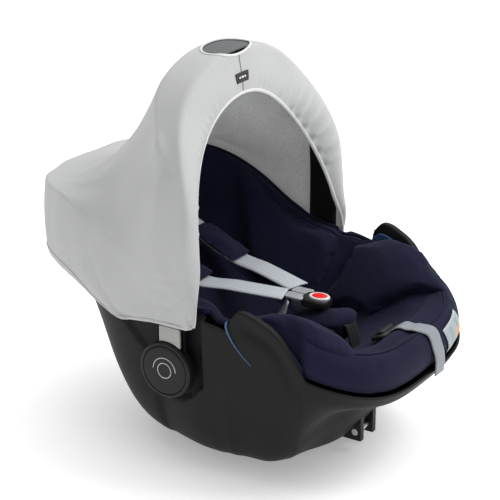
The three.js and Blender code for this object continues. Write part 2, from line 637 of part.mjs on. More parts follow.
// front adjuster: button in its frame, with the pull strap lying over the front edge of the seat
function addAdjuster() {
  const frame = cut(block(52, 26, 7, 6, 1), block(35.4, 14.4, 20, 3));
  add('adjuster_housing', frame, 'hub', { at: [0, -225.2, 184.2], turn: [-0.46, 0, 0], rough: 0.4 });
  add('adjuster_button', block(34, 13, 4, 3, 1), 'hub', { at: [0, -224.5, 185.6], turn: [-0.46, 0, 0] });
  const front = -PI / 2;
  const lip = [0.8, 0.83, 0.86, 0.89, 0.93, 0.97, 1].map((t) => {
    const slope = seatPoint(front, min(1, t + 0.01)).sub(seatPoint(front, t - 0.01)).normalize();
    return seatPoint(front, t).add(vec(0, -slope.z, slope.y).multiplyScalar(-3));
  });
  lip.push(vec(0, -FRONT - 5, 142));
  add('adjuster_strap', band(lip, () => vec(1, 0, 0), 26, 1.6, 14), 'silver', { rough: 0.8 });
  const patch = (u, v) => {
    const angle = mix(-0.98, -0.86, u);
    const t = mix(0.93, 0.985, v);
    return seatPoint(angle, t);
  };
  add('label_patch', sheet(4, 4, patch, -2.2, -1.6), 'label');
}

addShell();
addAdjuster();
addCover();
addHandle();
addHarness();

export default seat;
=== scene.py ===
import json
from math import atan2, cos, exp, hypot, pi, radians, sin

import bmesh
import bpy
from bpy.props import FloatProperty, FloatVectorProperty, IntProperty, PointerProperty
from mathutils import Matrix, Vector, noise


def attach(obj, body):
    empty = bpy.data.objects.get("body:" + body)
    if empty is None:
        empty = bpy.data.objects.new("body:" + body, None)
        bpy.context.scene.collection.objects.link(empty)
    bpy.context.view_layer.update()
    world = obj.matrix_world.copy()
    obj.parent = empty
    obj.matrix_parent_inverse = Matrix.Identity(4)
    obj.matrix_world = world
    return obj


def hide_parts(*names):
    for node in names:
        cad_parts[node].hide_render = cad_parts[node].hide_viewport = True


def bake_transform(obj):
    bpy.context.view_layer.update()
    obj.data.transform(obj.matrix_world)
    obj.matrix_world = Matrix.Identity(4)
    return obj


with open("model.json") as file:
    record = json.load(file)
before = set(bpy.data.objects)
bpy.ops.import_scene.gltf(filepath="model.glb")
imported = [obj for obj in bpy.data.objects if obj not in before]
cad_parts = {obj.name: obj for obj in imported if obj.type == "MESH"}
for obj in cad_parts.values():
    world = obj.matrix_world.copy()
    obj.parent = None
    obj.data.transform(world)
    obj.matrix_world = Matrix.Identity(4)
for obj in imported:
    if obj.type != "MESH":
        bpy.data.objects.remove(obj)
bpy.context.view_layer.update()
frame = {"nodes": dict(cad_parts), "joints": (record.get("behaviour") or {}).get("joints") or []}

bl_info = {
    "name": "Infant car seat",
    "version": (1, 0, 0),
    "blender": (4, 5, 0),
    "location": "View3D > Sidebar > Car Seat",
    "description": "Builds the soft and moulded pieces of an infant car seat round its fixed frame",
    "category": "Object",
}

# ------------------------------------------------------------------ sizes shared with the frame, in mm
# The seat is drawn about the handle's plane (Y = 0); SHIFT moves it to where the frame has it.
HANDLE_JOINT = next(j for j in frame["joints"] if j["name"] == "handle_pivot")
PIVOT_Y, PIVOT_Z = 3.0, HANDLE_JOINT["pos_m"][2] * 1000
SHIFT = HANDLE_JOINT["pos_m"][1] * 1000 - PIVOT_Y
FRONT, REAR = 297.0, 302.0
HALF_WIDTH, WING_HALF_WIDTH = 194.0, 205.0
FRONT_POWER, REAR_POWER = 3.4, 2.7
BASE_HALF_WIDTH, BASE_FRONT, BASE_REAR, BASE_LIFT = 100.0, -152.0, 78.0, 3.0
HUB_FACE = 213.0
ARCH_HALF_WIDTH, ARCH_TOP, ARCH_SPRING, ARCH_POWER = 208.5, 556.0, 300.0, 2.3
LEG_THICK = 12.0
LEG_SHARE = 0.13                            # share of the handle's run that each straight leg takes
POCKET_TOP, POCKET_HALF, POCKET_DEPTH = 222, 21.5, 9     # release button's pocket in the leg
PLATE_HALF, PLATE_TOP, PLATE_CLEAR = 17.0, 216.8, 42.2   # release button's plate, and its reach from the pivot
LIP = 2.4                                   # radius of the shell's rolled rim
SHELL_COLUMNS = 420
COVER_COLUMNS, COVER_ROWS = 360, 120
EDGE_INSET = 30.0
SEAT_CENTRE_Y = -20.0
CREST = 0.85
HOOD_LOW, HOOD_SAG = 219.0, 58.0
SIDES = (("right", -1), ("left", 1))

RIM_HEIGHT = [(-300, 140), (-280, 148), (-245, 162), (-203, 178), (-150, 204), (-92, 228), (-48, 236), (0, 242),
              (50, 265), (100, 298), (150, 323), (200, 336), (250, 335), (302, 328)]
WING_RISE = [(-206, 0), (-196, 16), (-170, 42), (-140, 47), (-113, 42), (-99, 24), (-90, 0)]
WALL_SIDE = [(0, 0), (0.36, 0.03), (0.66, 0.12), (0.85, 0.3), (0.95, 0.56), (0.99, 0.8), (1, 1)]
WALL_FRONT = [(0, 0), (0.2, 0.16), (0.38, 0.44), (0.49, 0.68), (0.72, 0.79), (0.92, 0.88), (1, 1)]
WALL_REAR = [(0, 0), (0.24, 0.06), (0.42, 0.19), (0.56, 0.36), (0.71, 0.57), (0.87, 0.79), (1, 1)]
SEAT_MIDDLE = [(-290, 192), (-268, 194), (-238, 181), (-190, 158), (-150, 140), (-100, 119), (-50, 106), (-15, 104),
               (20, 116), (60, 144), (120, 200), (180, 252), (230, 291), (270, 315), (302, 325)]
SEAT_EDGE = [(-300, 192), (-270, 203), (-235, 216), (-200, 234), (-160, 243), (-120, 236), (-90, 232), (-40, 240),
             (0, 246), (50, 268), (100, 301), (150, 327), (200, 341), (250, 341), (302, 334)]


# ------------------------------------------------------------------ small maths
def mix(a, b, t):
    return a + (b - a) * t


def clamp(t):
    return min(1.0, max(0.0, t))


def smooth(a, b, x):
    t = clamp((x - a) / (b - a))
    return t * t * (3 - 2 * t)


def power(x, p):
    return (1 if x >= 0 else -1) * abs(x) ** p


def hump(x, centre, width):
    return exp(-((x - centre) / width) ** 2)


def through(points, x):
    """Value at x on a smooth line through (x, value) points in rising x."""
    last = len(points) - 1
    if x <= points[0][0]:
        return points[0][1]
    if x >= points[last][0]:
        return points[last][1]
    i = 0
    while x > points[i + 1][0]:
        i += 1

    def slope(k):
        a, b = points[max(0, k - 1)], points[min(last, k + 1)]
        return (b[1] - a[1]) / (b[0] - a[0])

    (x0, y0), (x1, y1) = points[i], points[i + 1]
    h = x1 - x0
    t = (x - x0) / h
    m0, m1 = slope(i) * h, slope(i + 1) * h
    return ((2 * t**3 - 3 * t * t + 1) * y0 + (t**3 - 2 * t * t + t) * m0 + (3 * t * t - 2 * t**3) * y1
            + (t**3 - t * t) * m1)


def place(p):
    """A drawn point in millimetres as a point of the frame in metres."""
    return Vector((p[0], p[1] + SHIFT, p[2])) / 1000


# ------------------------------------------------------------------ mesh builders
def finish_mesh(name, bm, body, replaces=(), smooth_faces=True, material=None):
    """Turns a bmesh into a named piece that rides on a body of the frame."""
    mesh = bpy.data.meshes.new(name)
    for face in bm.faces:
        face.smooth = smooth_faces
    bm.to_mesh(mesh)
    bm.free()
    piece = bpy.data.objects.new(name, mesh)
    bpy.context.scene.collection.objects.link(piece)
    if material:
        mesh.materials.append(material)
    if body:
        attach(piece, body)
    if replaces:
        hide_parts(*replaces)
    return piece


def mapped_grid(columns, rows, point, around=False, closed_rows=False, span=(1.0, 1.0), turned_over=False):
    """Grid whose square is carried onto point(u, v) in mm; span is its cloth size in metres, for the weave's UV map."""
    bm = bmesh.new()
    bmesh.ops.create_grid(bm, x_segments=columns, y_segments=rows, size=0.5)
    layer = bm.loops.layers.uv.new("cloth")
    for face in bm.faces:
        for loop in face.loops:
            loop[layer].uv = ((loop.vert.co.x + 0.5) * span[0], (loop.vert.co.y + 0.5) * span[1])
    for vert in bm.verts:
        vert.co = place(point(clamp(vert.co.x + 0.5), clamp(vert.co.y + 0.5)))
    if around or closed_rows:
        bmesh.ops.remove_doubles(bm, verts=bm.verts, dist=2e-5)
    if turned_over:
        bmesh.ops.reverse_faces(bm, faces=bm.faces)
    return bm


def close_ends(bm):
    """Fills the open ends of a swept piece and turns its faces outwards."""
    bmesh.ops.holes_fill(bm, edges=[e for e in bm.edges if e.is_boundary])
    bmesh.ops.recalc_face_normals(bm, faces=bm.faces)
    return bm


def spun(outline, side, segments=96):
    """Turned piece about the handle's axis, from an outline of (distance along X, radius) in mm."""
    bm = bmesh.new()
    verts = [bm.verts.new(place((side * x, PIVOT_Y + r, PIVOT_Z))) for x, r in outline]
    edges = [bm.edges.new(pair) for pair in zip(verts, verts[1:])]
    bmesh.ops.spin(bm, geom=verts + edges, cent=place((0, PIVOT_Y, PIVOT_Z)), axis=(1, 0, 0), angle=2 * pi,
                   steps=segments, use_merge=True)
    bmesh.ops.remove_doubles(bm, verts=bm.verts, dist=2e-5)
    bmesh.ops.recalc_face_normals(bm, faces=bm.faces)
    return bm


def rounded_block(size, radius, bevel, at, turn=0.0, segments=4):
    """Block of size (x, y, z) mm with its upright corners rounded and its edges bevelled, at a drawn point."""
    bm = bmesh.new()
    bmesh.ops.create_cube(bm, size=1.0)
    bmesh.ops.scale(bm, verts=bm.verts, vec=Vector(size) / 1000)
    upright = [e for e in bm.edges if abs((e.verts[0].co - e.verts[1].co).normalized().z) > 0.9]
    bmesh.ops.bevel(bm, geom=upright, offset=radius / 1000, affect="EDGES", segments=6, profile=0.5, material=-1)
    flat = [e for e in bm.edges if len(e.link_faces) == 2 and e.calc_face_angle() > 1.2]
    bmesh.ops.bevel(bm, geom=flat, offset=bevel / 1000, affect="EDGES", segments=segments, profile=0.5, material=-1)
    bmesh.ops.rotate(bm, verts=bm.verts, cent=(0, 0, 0), matrix=Matrix.Rotation(turn, 3, "X"))
    bmesh.ops.translate(bm, verts=bm.verts, vec=place(at))
    return bm


def sink_well(bm, centre, radii, depth):
    """Oval well sunk in the block's flat top, so that a button can go down in it."""
    middle = place(centre)
    top = max(bm.faces, key=lambda face: face.calc_center_median().z)
    bmesh.ops.subdivide_edges(bm, edges=list(top.edges), cuts=2)
    top = max(bm.faces, key=lambda face: (round(face.calc_center_median().z, 6), face.calc_area()))
    bmesh.ops.inset_individual(bm, faces=[top], thickness=0.0005)
    for vert in top.verts:
        turn = atan2(vert.co.y - middle.y, vert.co.x - middle.x)
        vert.co = middle + Vector((radii[0] * cos(turn), radii[1] * sin(turn), 0)) / 1000
    floor = bmesh.ops.extrude_discrete_faces(bm, faces=[top])["faces"]
    bmesh.ops.translate(bm, vec=(0, 0, -depth / 1000), verts=list(floor[0].verts))
    bmesh.ops.recalc_face_normals(bm, faces=bm.faces)


def strip(path, across, width, steps, columns=6, crown=0.0):
    """Ribbon of webbing in mm along a list of points; across(t) is its width direction. Returns (grid, length)."""
    spline = Spline(path)

    def point(u, v):
        along = spline.tangent(v)
        side = Vector(across(v))
        side = (side - along * side.dot(along)).normalized()
        up = side.cross(along)
        return spline.at(v) + side * (u - 0.5) * width + up * crown * (1 - (2 * u - 1) ** 2)

    return mapped_grid(columns, steps, point, span=(width / 1000, spline.length / 1000)), spline.length


class Spline:
    """Smooth line through points in mm, walked by its share of length."""

    def __init__(self, points):
        points = [Vector(p) for p in points]
        ends = [points[0] * 2 - points[1]] + points + [points[-1] * 2 - points[-2]]
        self.fine = []
        for p0, p1, p2, p3 in zip(ends, ends[1:], ends[2:], ends[3:]):
            for k in range(24):
                t = k / 24
                self.fine.append(0.5 * (2 * p1 + (p2 - p0) * t + (2 * p0 - 5 * p1 + 4 * p2 - p3) * t * t
                                        + (3 * p1 - p0 - 3 * p2 + p3) * t**3))
        self.fine.append(points[-1])
        self.run = [0.0]
        for a, b in zip(self.fine, self.fine[1:]):
            self.run.append(self.run[-1] + (b - a).length)
        self.length = self.run[-1]

    def at(self, share):
        goal = clamp(share) * self.length
        low, high = 0, len(self.run) - 1
        while high - low > 1:
            middle = (low + high) // 2
            if self.run[middle] <= goal:
                low = middle
            else:
                high = middle
        part = (goal - self.run[low]) / max(1e-9, self.run[high] - self.run[low])
        return self.fine[low].lerp(self.fine[high], part)

    def tangent(self, share):
        return (self.at(min(1, share + 0.01)) - self.at(max(0, share - 0.01))).normalized()


def solidify(piece, thickness, offset=-1.0):
    modifier = piece.modifiers.new("wall", "SOLIDIFY")
    modifier.thickness = thickness / 1000
    modifier.offset = offset
    return modifier


def subdivide(piece, levels=1):
    modifier = piece.modifiers.new("fine", "SUBSURF")
    modifier.levels = modifier.render_levels = levels
    return modifier


def band_round(path, width, height, steps, section=10, closed=False, up=None, taper=0.0):
    """Closed cord-like band of elliptical section along path(t) in mm; up(t) is the direction of its height."""

    rows = {}

    def row(v):
        t = v % 1.0 if closed else v
        step = 0.002
        if closed:
            along = (path((t + step) % 1.0) - path((t - step) % 1.0)).normalized()
        else:
            along = (path(min(1, t + step)) - path(max(0, t - step))).normalized()
        high = up(t)
        high = (high - along * high.dot(along)).normalized()
        size = (1.0 if closed else clamp(min(v, 1 - v) * steps * 0.8) ** 0.5) * (1 - taper * v)
        return path(t), along.cross(high) * width / 2 * size, high * height / 2 * size

    def point(u, v):
        key = round(v * steps)
        if key not in rows:
            rows[key] = row(key / steps)
        middle, side, high = rows[key]
        return middle + side * cos(2 * pi * u) + high * sin(2 * pi * u)

    bm = mapped_grid(section, steps, point, around=True)
    bmesh.ops.recalc_face_normals(bm, faces=bm.faces)
    return bm


# ------------------------------------------------------------------ shell surface
def wing_rise(y):
    return through(WING_RISE, y)


def rim_height(y):
    return through(RIM_HEIGHT, y)


def side_width(y):
    return mix(HALF_WIDTH, WING_HALF_WIDTH, smooth(-52, -74, y))


def rim_plan(angle, inset=0.0):
    """Rim outline seen from above, moved inwards by inset."""
    c, s = cos(angle), sin(angle)
    p = 2 / (FRONT_POWER if s < 0 else REAR_POWER)
    y = ((FRONT if s < 0 else REAR) - inset) * power(s, p)
    return Vector(((side_width(y) - inset) * power(c, p), y, 0))


def half_width_at(y, inset=0.0):
    length = (FRONT if y < 0 else REAR) - inset
    n = FRONT_POWER if y < 0 else REAR_POWER
    return (side_width(y) - inset) * (1 - min(1, abs(y) / length) ** n) ** (1 / n)


def wall_share(t, angle, axis):
    k = clamp(t) * 6

    def pick(keys):
        return through([(i, key[axis]) for i, key in enumerate(keys)], k)

    front = smooth(0.3, 0.95, -sin(angle))
    rear = smooth(0.1, 0.85, sin(angle))
    return pick(WALL_SIDE) * (1 - front - rear) + pick(WALL_FRONT) * front + pick(WALL_REAR) * rear


def pocket_width(y, z):
    """Half width of the shell's side: full forwards of the hub's pocket and below it, less inside it."""
    ahead = smooth(-47, -53, y)
    reach = hypot(y - PIVOT_Y, z - PIVOT_Z)
    below = smooth(50, -40, y) * smooth(47, 53, reach) * smooth(PIVOT_Z - 6, PIVOT_Z - 24, z)
    behind = smooth(2, -2, z - PIVOT_Z - 6 - 0.9 * (y - 42)) * smooth(30, 44, y)
    return mix(HALF_WIDTH - 5, WING_HALF_WIDTH, max(ahead, below, behind * 5 / 16))


def shell_point(angle, t):
    """Point of the shell's outside: t runs from the edge of the flat base (0) up to the rim (1)."""
    rim = rim_plan(angle)
    foot = Vector((BASE_HALF_WIDTH * power(cos(angle), 0.75),
                   (BASE_FRONT + BASE_REAR) / 2 + (BASE_REAR - BASE_FRONT) / 2 * power(sin(angle), 0.75), 0))
    out, up = wall_share(t, angle, 0), wall_share(t, angle, 1)
    rise = wing_rise(rim.y)
    top = rim_height(rim.y) + rise - LIP
    z = mix(BASE_LIFT, top, up)
    x, y = mix(foot.x, rim.x, out), mix(foot.y, rim.y, out)
    if abs(cos(angle)) > 0.2 and -75 < rim.y < 118:
        inside = smooth(-75, -57, y) * smooth(112, 104, y)
        far = WING_HALF_WIDTH if y < 0 else HALF_WIDTH
        x *= mix(far, pocket_width(y, z), inside) / side_width(rim.y)
    # the wing's edge rolls outwards over a shallow hollow
    if rise > 0.5:
        slope = (wing_rise(rim.y + 3) + rim_height(rim.y + 3) - wing_rise(rim.y - 3) - rim_height(rim.y - 3)) / 6
        below = (top - z) / hypot(1, slope)
        fade = smooth(0, 14, rise) * smooth(-96, -125, rim.y)
        roll = 1.6 * hump(below, 2, 8) - 3.2 * hump(below, 20, 9)
        x += (1 if x > 0 else -1) * roll * fade
    return Vector((x, y, z))


def rim_angles(count):
    """Angles round the rim, evenly spaced along it but closer together at the wings and the hub's pocket."""
    fine = 2880
    total = [0.0]
    for i in range(1, fine + 1):
        a, b = rim_plan((i - 1) / fine * 2 * pi), rim_plan(i / fine * 2 * pi)
        near = smooth(-215, -200, b.y) * smooth(-36, -50, b.y)
        total.append(total[-1] + (b - a).length * (1 + 1.8 * near))
    angles, i = [], 0
    for k in range(count + 1):
        while i < fine and total[i] < k / count * total[-1]:
            i += 1
        angles.append(i / fine * 2 * pi)
    return angles


def plan_normal(angle):
    d = rim_plan(angle + 0.01) - rim_plan(angle - 0.01)
    return Vector((d.y, -d.x, 0)).normalized()


def shell_mesh():
    """Closed shell: up the outside, over the rolled rim and down the inside to the floor."""
    angles = rim_angles(SHELL_COLUMNS)
    outward = [plan_normal(a) for a in angles]
    cache = {}

    def outer(i, t):
        key = (i % SHELL_COLUMNS, round(t, 5))
        if key not in cache:
            cache[key] = shell_point(angles[i], t)
        return cache[key]

    middle = Vector((0, (BASE_FRONT + BASE_REAR) / 2, BASE_LIFT))

    def point(u, v):
        i = round(u * SHELL_COLUMNS)
        if v <= 0.06:
            return middle.lerp(outer(i, 0), v / 0.06)
        if v <= 0.72:
            return outer(i, (v - 0.06) / 0.66)
        n = outward[i]
        wide = LIP * mix(1, 2.2, smooth(4, 20, wing_rise(rim_plan(angles[i]).y)))
        if v <= 0.82:
            turn = pi * (v - 0.72) / 0.10
            return outer(i, 1) - n * wide * (1 - cos(turn)) + Vector((0, 0, LIP * sin(turn)))
        t = clamp(1 - (v - 0.82) / 0.15)
        inside = outer(i, t) - n * wide * 2
        if v > 0.97:
            inside = inside.lerp(middle + Vector((0, 0, 4)), (v - 0.97) / 0.03)
        inside.z = max(inside.z, BASE_LIFT + 4)
        return inside

    bm = mapped_grid(SHELL_COLUMNS, 100, point, around=True)
    bmesh.ops.recalc_face_normals(bm, faces=bm.faces)
    return bm


def wall_bulge(y, z):
    """Share of the full half width that the shell's side has at a height."""
    best, closest = 1.0, 1e9
    for k in range(200):
        angle = -pi / 2 * k / 200
        if abs(rim_plan(angle).y - y) > 8:
            continue
        for m in range(40, 101, 2):
            p = shell_point(angle, m / 100)
            gap = abs(p.y - y) + abs(p.z - z)
            if gap < closest:
                best, closest = p.x / pocket_width(y, z), gap
    return best


def angle_at(y):
    """Angle round the left half of the rim whose outline is at y."""
    low, high = -pi / 2, pi / 2
    for _ in range(40):
        middle = (low + high) / 2
        if rim_plan(middle).y < y:
            low = middle
        else:
            high = middle
    return (low + high) / 2


# ------------------------------------------------------------------ seat surface
def seat_height(x, y):
    a = min(1, abs(x) / max(1, half_width_at(y, EDGE_INSET)))
    return mix(through(SEAT_MIDDLE, y), through(SEAT_EDGE, y), a ** mix(2.4, 3.2, smooth(0, 150, y)))


def seat_point(angle, t):
    """Top of the upholstery: t from the middle (0) through the crest (0.85) to the tucked outer edge (1)."""
    inner = rim_plan(angle, EDGE_INSET)
    rim_y = rim_plan(angle).y
    edge = through(SEAT_EDGE, rim_y)
    if t <= CREST:
        k = t / CREST
        x, y = inner.x * k, mix(SEAT_CENTRE_Y, inner.y, k)
        a = min(1, abs(x) / max(1, half_width_at(y, EDGE_INSET)))
        squareness = mix(2.4, 3.2, smooth(0, 150, y))
        end = smooth(0.82, 1, k) * smooth(0.5, 0.9, abs(sin(angle)))
        side = mix(through(SEAT_EDGE, y), edge, end)
        return Vector((x, y, mix(through(SEAT_MIDDLE, y), side, max(a ** squareness, end))))
    k = (t - CREST) / (1 - CREST)
    wing = max(smooth(0, 12, wing_rise(rim_y)), smooth(-36, -52, rim_y) * smooth(-100, -90, rim_y))
    turn = k * radians(112)
    most, last = mix(4.5, 17, wing), mix(8, 18, wing)
    inset = EDGE_INSET - (EDGE_INSET - most) * sin(turn) if turn < pi / 2 else mix(
        most, last, (turn - pi / 2) / radians(22))
    outer = rim_plan(angle, inset)
    low = rim_height(rim_y) + 3
    drop = (1 - cos(turn)) / (1 - cos(radians(112)))
    rise = sin(min(1, k * 1.6) * pi) * 4 * (1 - k)
    return Vector((outer.x, outer.y, mix(edge, low, drop) + rise))


def seat_normal(angle, t):
    along = seat_point(angle + 0.01, t) - seat_point(angle - 0.01, t)
    out = seat_point(angle, min(1, t + 0.01)) - seat_point(angle, max(0.001, t - 0.01))
    n = out.cross(along)
    return n.normalized() if n.length > 1e-9 else Vector((0, 0, 1))


def cloth_noise(p, scale, depth):
    return noise.noise(Vector(p) / scale) * depth


def cover_lift(p, t):
    """Height of the cover's seams, slack and front bulge over the plain seat surface, in mm."""
    front = smooth(-200, -240, p.y)
    seam = -2.2 * hump(t, 0.872, 0.006) + 0.9 * hump(t, 0.862, 0.008) + 0.9 * hump(t, 0.883, 0.008)
    for corner in (-1, 1):
        seam -= 2.0 * hump(p.x, corner * 112, 2.2) * front * smooth(0.86, 0.9, t)
    crease = -3.0 * hump(max(0, abs(p.y - 158) - 3), 0, 4) * smooth(60, 90, abs(p.x)) * smooth(0.85, 0.6, t)
    slack = cloth_noise(p, 46, 1.6) + cloth_noise(p + Vector((0, 0, 400)), 17, 0.5)
    return seam + crease + slack * smooth(0.0, 0.1, 1 - t) + cover_bulge(p, t)


def cover_bulge(p, t):
    return 4.0 * sin(clamp((t - CREST) / 0.15) * pi) * smooth(-200, -240, p.y)


def on_cover(angle, t, height):
    p = seat_point(angle, t)
    return p + seat_normal(angle, t) * (cover_lift(p, t) + height)


def cover_mesh():
    """Fitted cover: the seat surface with piped edge seams, front panel seams and slight slack."""
    angles = rim_angles(COVER_COLUMNS)[:-1]
    rows = [[seat_point(angle, max(0.004, j / COVER_ROWS)) for j in range(COVER_ROWS + 1)] for angle in angles]

    def point(u, v):
        i, j = round(u * COVER_COLUMNS) % COVER_COLUMNS, round(v * COVER_ROWS)
        t = max(0.004, v)
        p = rows[i][j]
        along = rows[(i + 1) % COVER_COLUMNS][j] - rows[i - 1][j]
        out = rows[i][min(COVER_ROWS, j + 1)] - rows[i][max(0, j - 1)]
        n = out.cross(along).normalized()
        return p + n * cover_lift(p, t)

    return mapped_grid(COVER_COLUMNS, COVER_ROWS, point, around=True, turned_over=True)


def soft_pad(name, bm, cad_node, material, cap=1000, cell=1000):
    """Closed pad made a piece and blown up; cap and cell turn the settings to this piece's mm."""
    piece = finish_mesh(name, bm, "seat", [cad_node], material=material)
    puff(piece, sizes().puff * cap, sizes().voxel * cell)


def lay_strap(name, cad_node, path, across, width, steps, thickness, material, crown=0.0):
    """Webbing laid along a path in mm and given its thickness."""
    bm, run = strip(path, across, width, steps, crown=crown)
    strap = finish_mesh(name, bm, "seat", [cad_node], material=material)
    solidify(strap, thickness, 0.0)


def pad_solid(place_at, crown, columns=40, rows=56, base=-3.5, lean=1.0):
    """Closed pad lying on a surface: place_at(u, v, height) in mm, crown its height in the middle."""

    def point(u, v):
        if v <= 0.5:
            s = v * 2
            w = u ** lean
            rise = base + crown * (4 * w * (1 - w)) ** 0.5 * (4 * s * (1 - s)) ** 0.42
            return place_at(u, s, rise)
        return place_at(u, 2 - v * 2, base)

    bm = mapped_grid(columns, rows * 2, point, closed_rows=True)
    bmesh.ops.holes_fill(bm, edges=[e for e in bm.edges if e.is_boundary])
    bmesh.ops.remove_doubles(bm, verts=bm.verts, dist=4e-4)
    bmesh.ops.recalc_face_normals(bm, faces=bm.faces)
    return bm


def on_seat(angle_range, t_range, bow=0.0):
    """Pad placement by angle round the seat and share of the way out."""

    def put(u, v, height):
        angle = mix(*angle_range, v)
        t = mix(*t_range, u) + bow * (2 * v - 1) ** 2
        return seat_point(angle, t) + seat_normal(angle, t) * (height + 1.0)

    return put


def puff(piece, cap, voxel=5.0, pressure=4.0, frames=20):
    """Blows a closed pad up as cloth, each point moving at most cap mm, then leaves the settled mesh on it."""
    remesh = piece.modifiers.new("remesh", "REMESH")
    remesh.mode = "VOXEL"
    remesh.voxel_size = voxel / 1000
    bake_modifiers(piece)
    rest = [v.co.copy() for v in piece.data.vertices]
    cloth = piece.modifiers.new("cloth", "CLOTH")
    cloth.settings.use_pressure = True
    cloth.settings.uniform_pressure_force = pressure
    cloth.settings.effector_weights.gravity = 0
    cloth.settings.quality = 5
    cloth.settings.mass = 0.3
    cloth.settings.tension_stiffness = cloth.settings.compression_stiffness = 20
    cloth.settings.bending_stiffness = 0.6
    scene = bpy.context.scene
    for step in range(1, frames + 1):
        scene.frame_set(step)
    bake_modifiers(piece)
    scene.frame_set(1)
    for vert, start in zip(piece.data.vertices, rest):
        move = vert.co - start
        if move.length > cap / 1000:
            vert.co = start + move.normalized() * cap / 1000
    for polygon in piece.data.polygons:
        polygon.use_smooth = True
    subdivide(piece)


def bake_modifiers(piece):
    graph = bpy.context.evaluated_depsgraph_get()
    mesh = bpy.data.meshes.new_from_object(piece.evaluated_get(graph))
    old = piece.data
    piece.modifiers.clear()
    piece.data = mesh
    mesh.name = piece.name
    if old.users == 0:
        bpy.data.meshes.remove(old)


def mirrored(bm):
    bmesh.ops.scale(bm, verts=bm.verts, vec=(-1, 1, 1))
    bmesh.ops.recalc_face_normals(bm, faces=bm.faces)
    return bm


# ------------------------------------------------------------------ handle and hood surfaces
def arch_point(s, inset=0.0):
    w, h = ARCH_HALF_WIDTH - inset, ARCH_TOP - ARCH_SPRING - inset
    p = 2 / ARCH_POWER
    a = s * pi
    return (-w * power(cos(a), p), ARCH_SPRING + h * power(sin(a), p))


def handle_run(s, inset, foot):
    """(x, z) along the handle's outline moved inwards by inset: a leg up from foot, the arch, the other leg."""
    if s < LEG_SHARE or s > 1 - LEG_SHARE:
        k = s / LEG_SHARE if s < 0.5 else (1 - s) / LEG_SHARE
        return (-1 if s < 0.5 else 1) * (ARCH_HALF_WIDTH - inset), mix(foot, ARCH_SPRING, k)
    return arch_point((s - LEG_SHARE) / (1 - 2 * LEG_SHARE), inset)


def arch_front(z):
    return mix(-25, 24, smooth(370, 545, z))


def arch_rear(z):
    return mix(19, 71, smooth(430, 540, z))


BUTTON_MIDDLE = (arch_front(200) + arch_rear(200)) / 2


def handle_mesh():
    """Carry handle: one rounded section swept from hub to hub, with a pocket for each release button."""
    def point(u, v):
        a = 2 * pi * u
        depth, across = power(cos(a), 0.5), power(sin(a), 0.45)
        ends = clamp(min(v, 1 - v) * 60) ** 0.5
        inset = LEG_THICK / 2 + LEG_THICK / 2 * depth * ends
        x, z = handle_run(v, inset, PIVOT_Z + 12)
        height = handle_run(v, 0, PIVOT_Z + 12)[1]
        low, high = arch_front(height), arch_rear(height)
        y = (low + high) / 2 + (high - low) / 2 * across * ends
        if PIVOT_Z + 14 < z < POCKET_TOP and depth < 0 and abs(y - BUTTON_MIDDLE) < POCKET_HALF:
            x = (1 if x > 0 else -1) * (ARCH_HALF_WIDTH - POCKET_DEPTH)
        return Vector((x, y, z))

    return close_ends(mapped_grid(64, 300, point, around=True))


def plate_mesh(side):
    """Release button: a flat plate in the handle's pocket, its lower edge round the hub."""
    lower = [BUTTON_MIDDLE + mix(-PLATE_HALF, PLATE_HALF, k / 16) for k in range(17)]
    outline = [(y, PIVOT_Z + (PLATE_CLEAR ** 2 - (y - PIVOT_Y) ** 2) ** 0.5) for y in lower]
    corner = [(0, 2.4), (0.7, 0.7), (2.4, 0)]
    outline += [(BUTTON_MIDDLE + PLATE_HALF - y, PLATE_TOP - z) for y, z in corner]
    outline += [(BUTTON_MIDDLE - PLATE_HALF + y, PLATE_TOP - z) for y, z in reversed(corner)]
    bm = bmesh.new()
    face = bm.faces.new([bm.verts.new(place((side * (ARCH_HALF_WIDTH - 3.4), y, z))) for y, z in outline])
    grown = bmesh.ops.extrude_face_region(bm, geom=[face])["geom"]
    outer = [v for v in grown if isinstance(v, bmesh.types.BMVert)]
    bmesh.ops.translate(bm, vec=(side * 0.0042, 0, 0), verts=outer)
    rim = [e for e in grown if isinstance(e, bmesh.types.BMEdge)]
    bmesh.ops.bevel(bm, geom=rim, offset=0.0009, segments=3, profile=0.5, affect="EDGES", material=-1)
    bmesh.ops.recalc_face_normals(bm, faces=bm.faces)
    return bm


def hood_hem(s):
    a = mix(-0.12, pi + 0.12, s)
    x = -190 * cos(a) * (1 + 0.055 * smooth(0.14, 0.08, min(s, 1 - s)))
    z = 200 + 292 * sin(max(0.075, a) if s < 0.5 else min(pi - 0.075, a))
    return Vector((x, -38 + 50 * smooth(226, 492, z) ** 1.15, z))


def hood_rim_plan(s, start, outwards):
    return rim_plan(pi - start - (pi - 2 * start) * s, -outwards)


LOW_HEM = [(0, 204), (0.05, 220), (0.1, 234), (0.15, 242), (0.2, 246), (0.26, 247), (0.34, 244), (0.5, 240)]


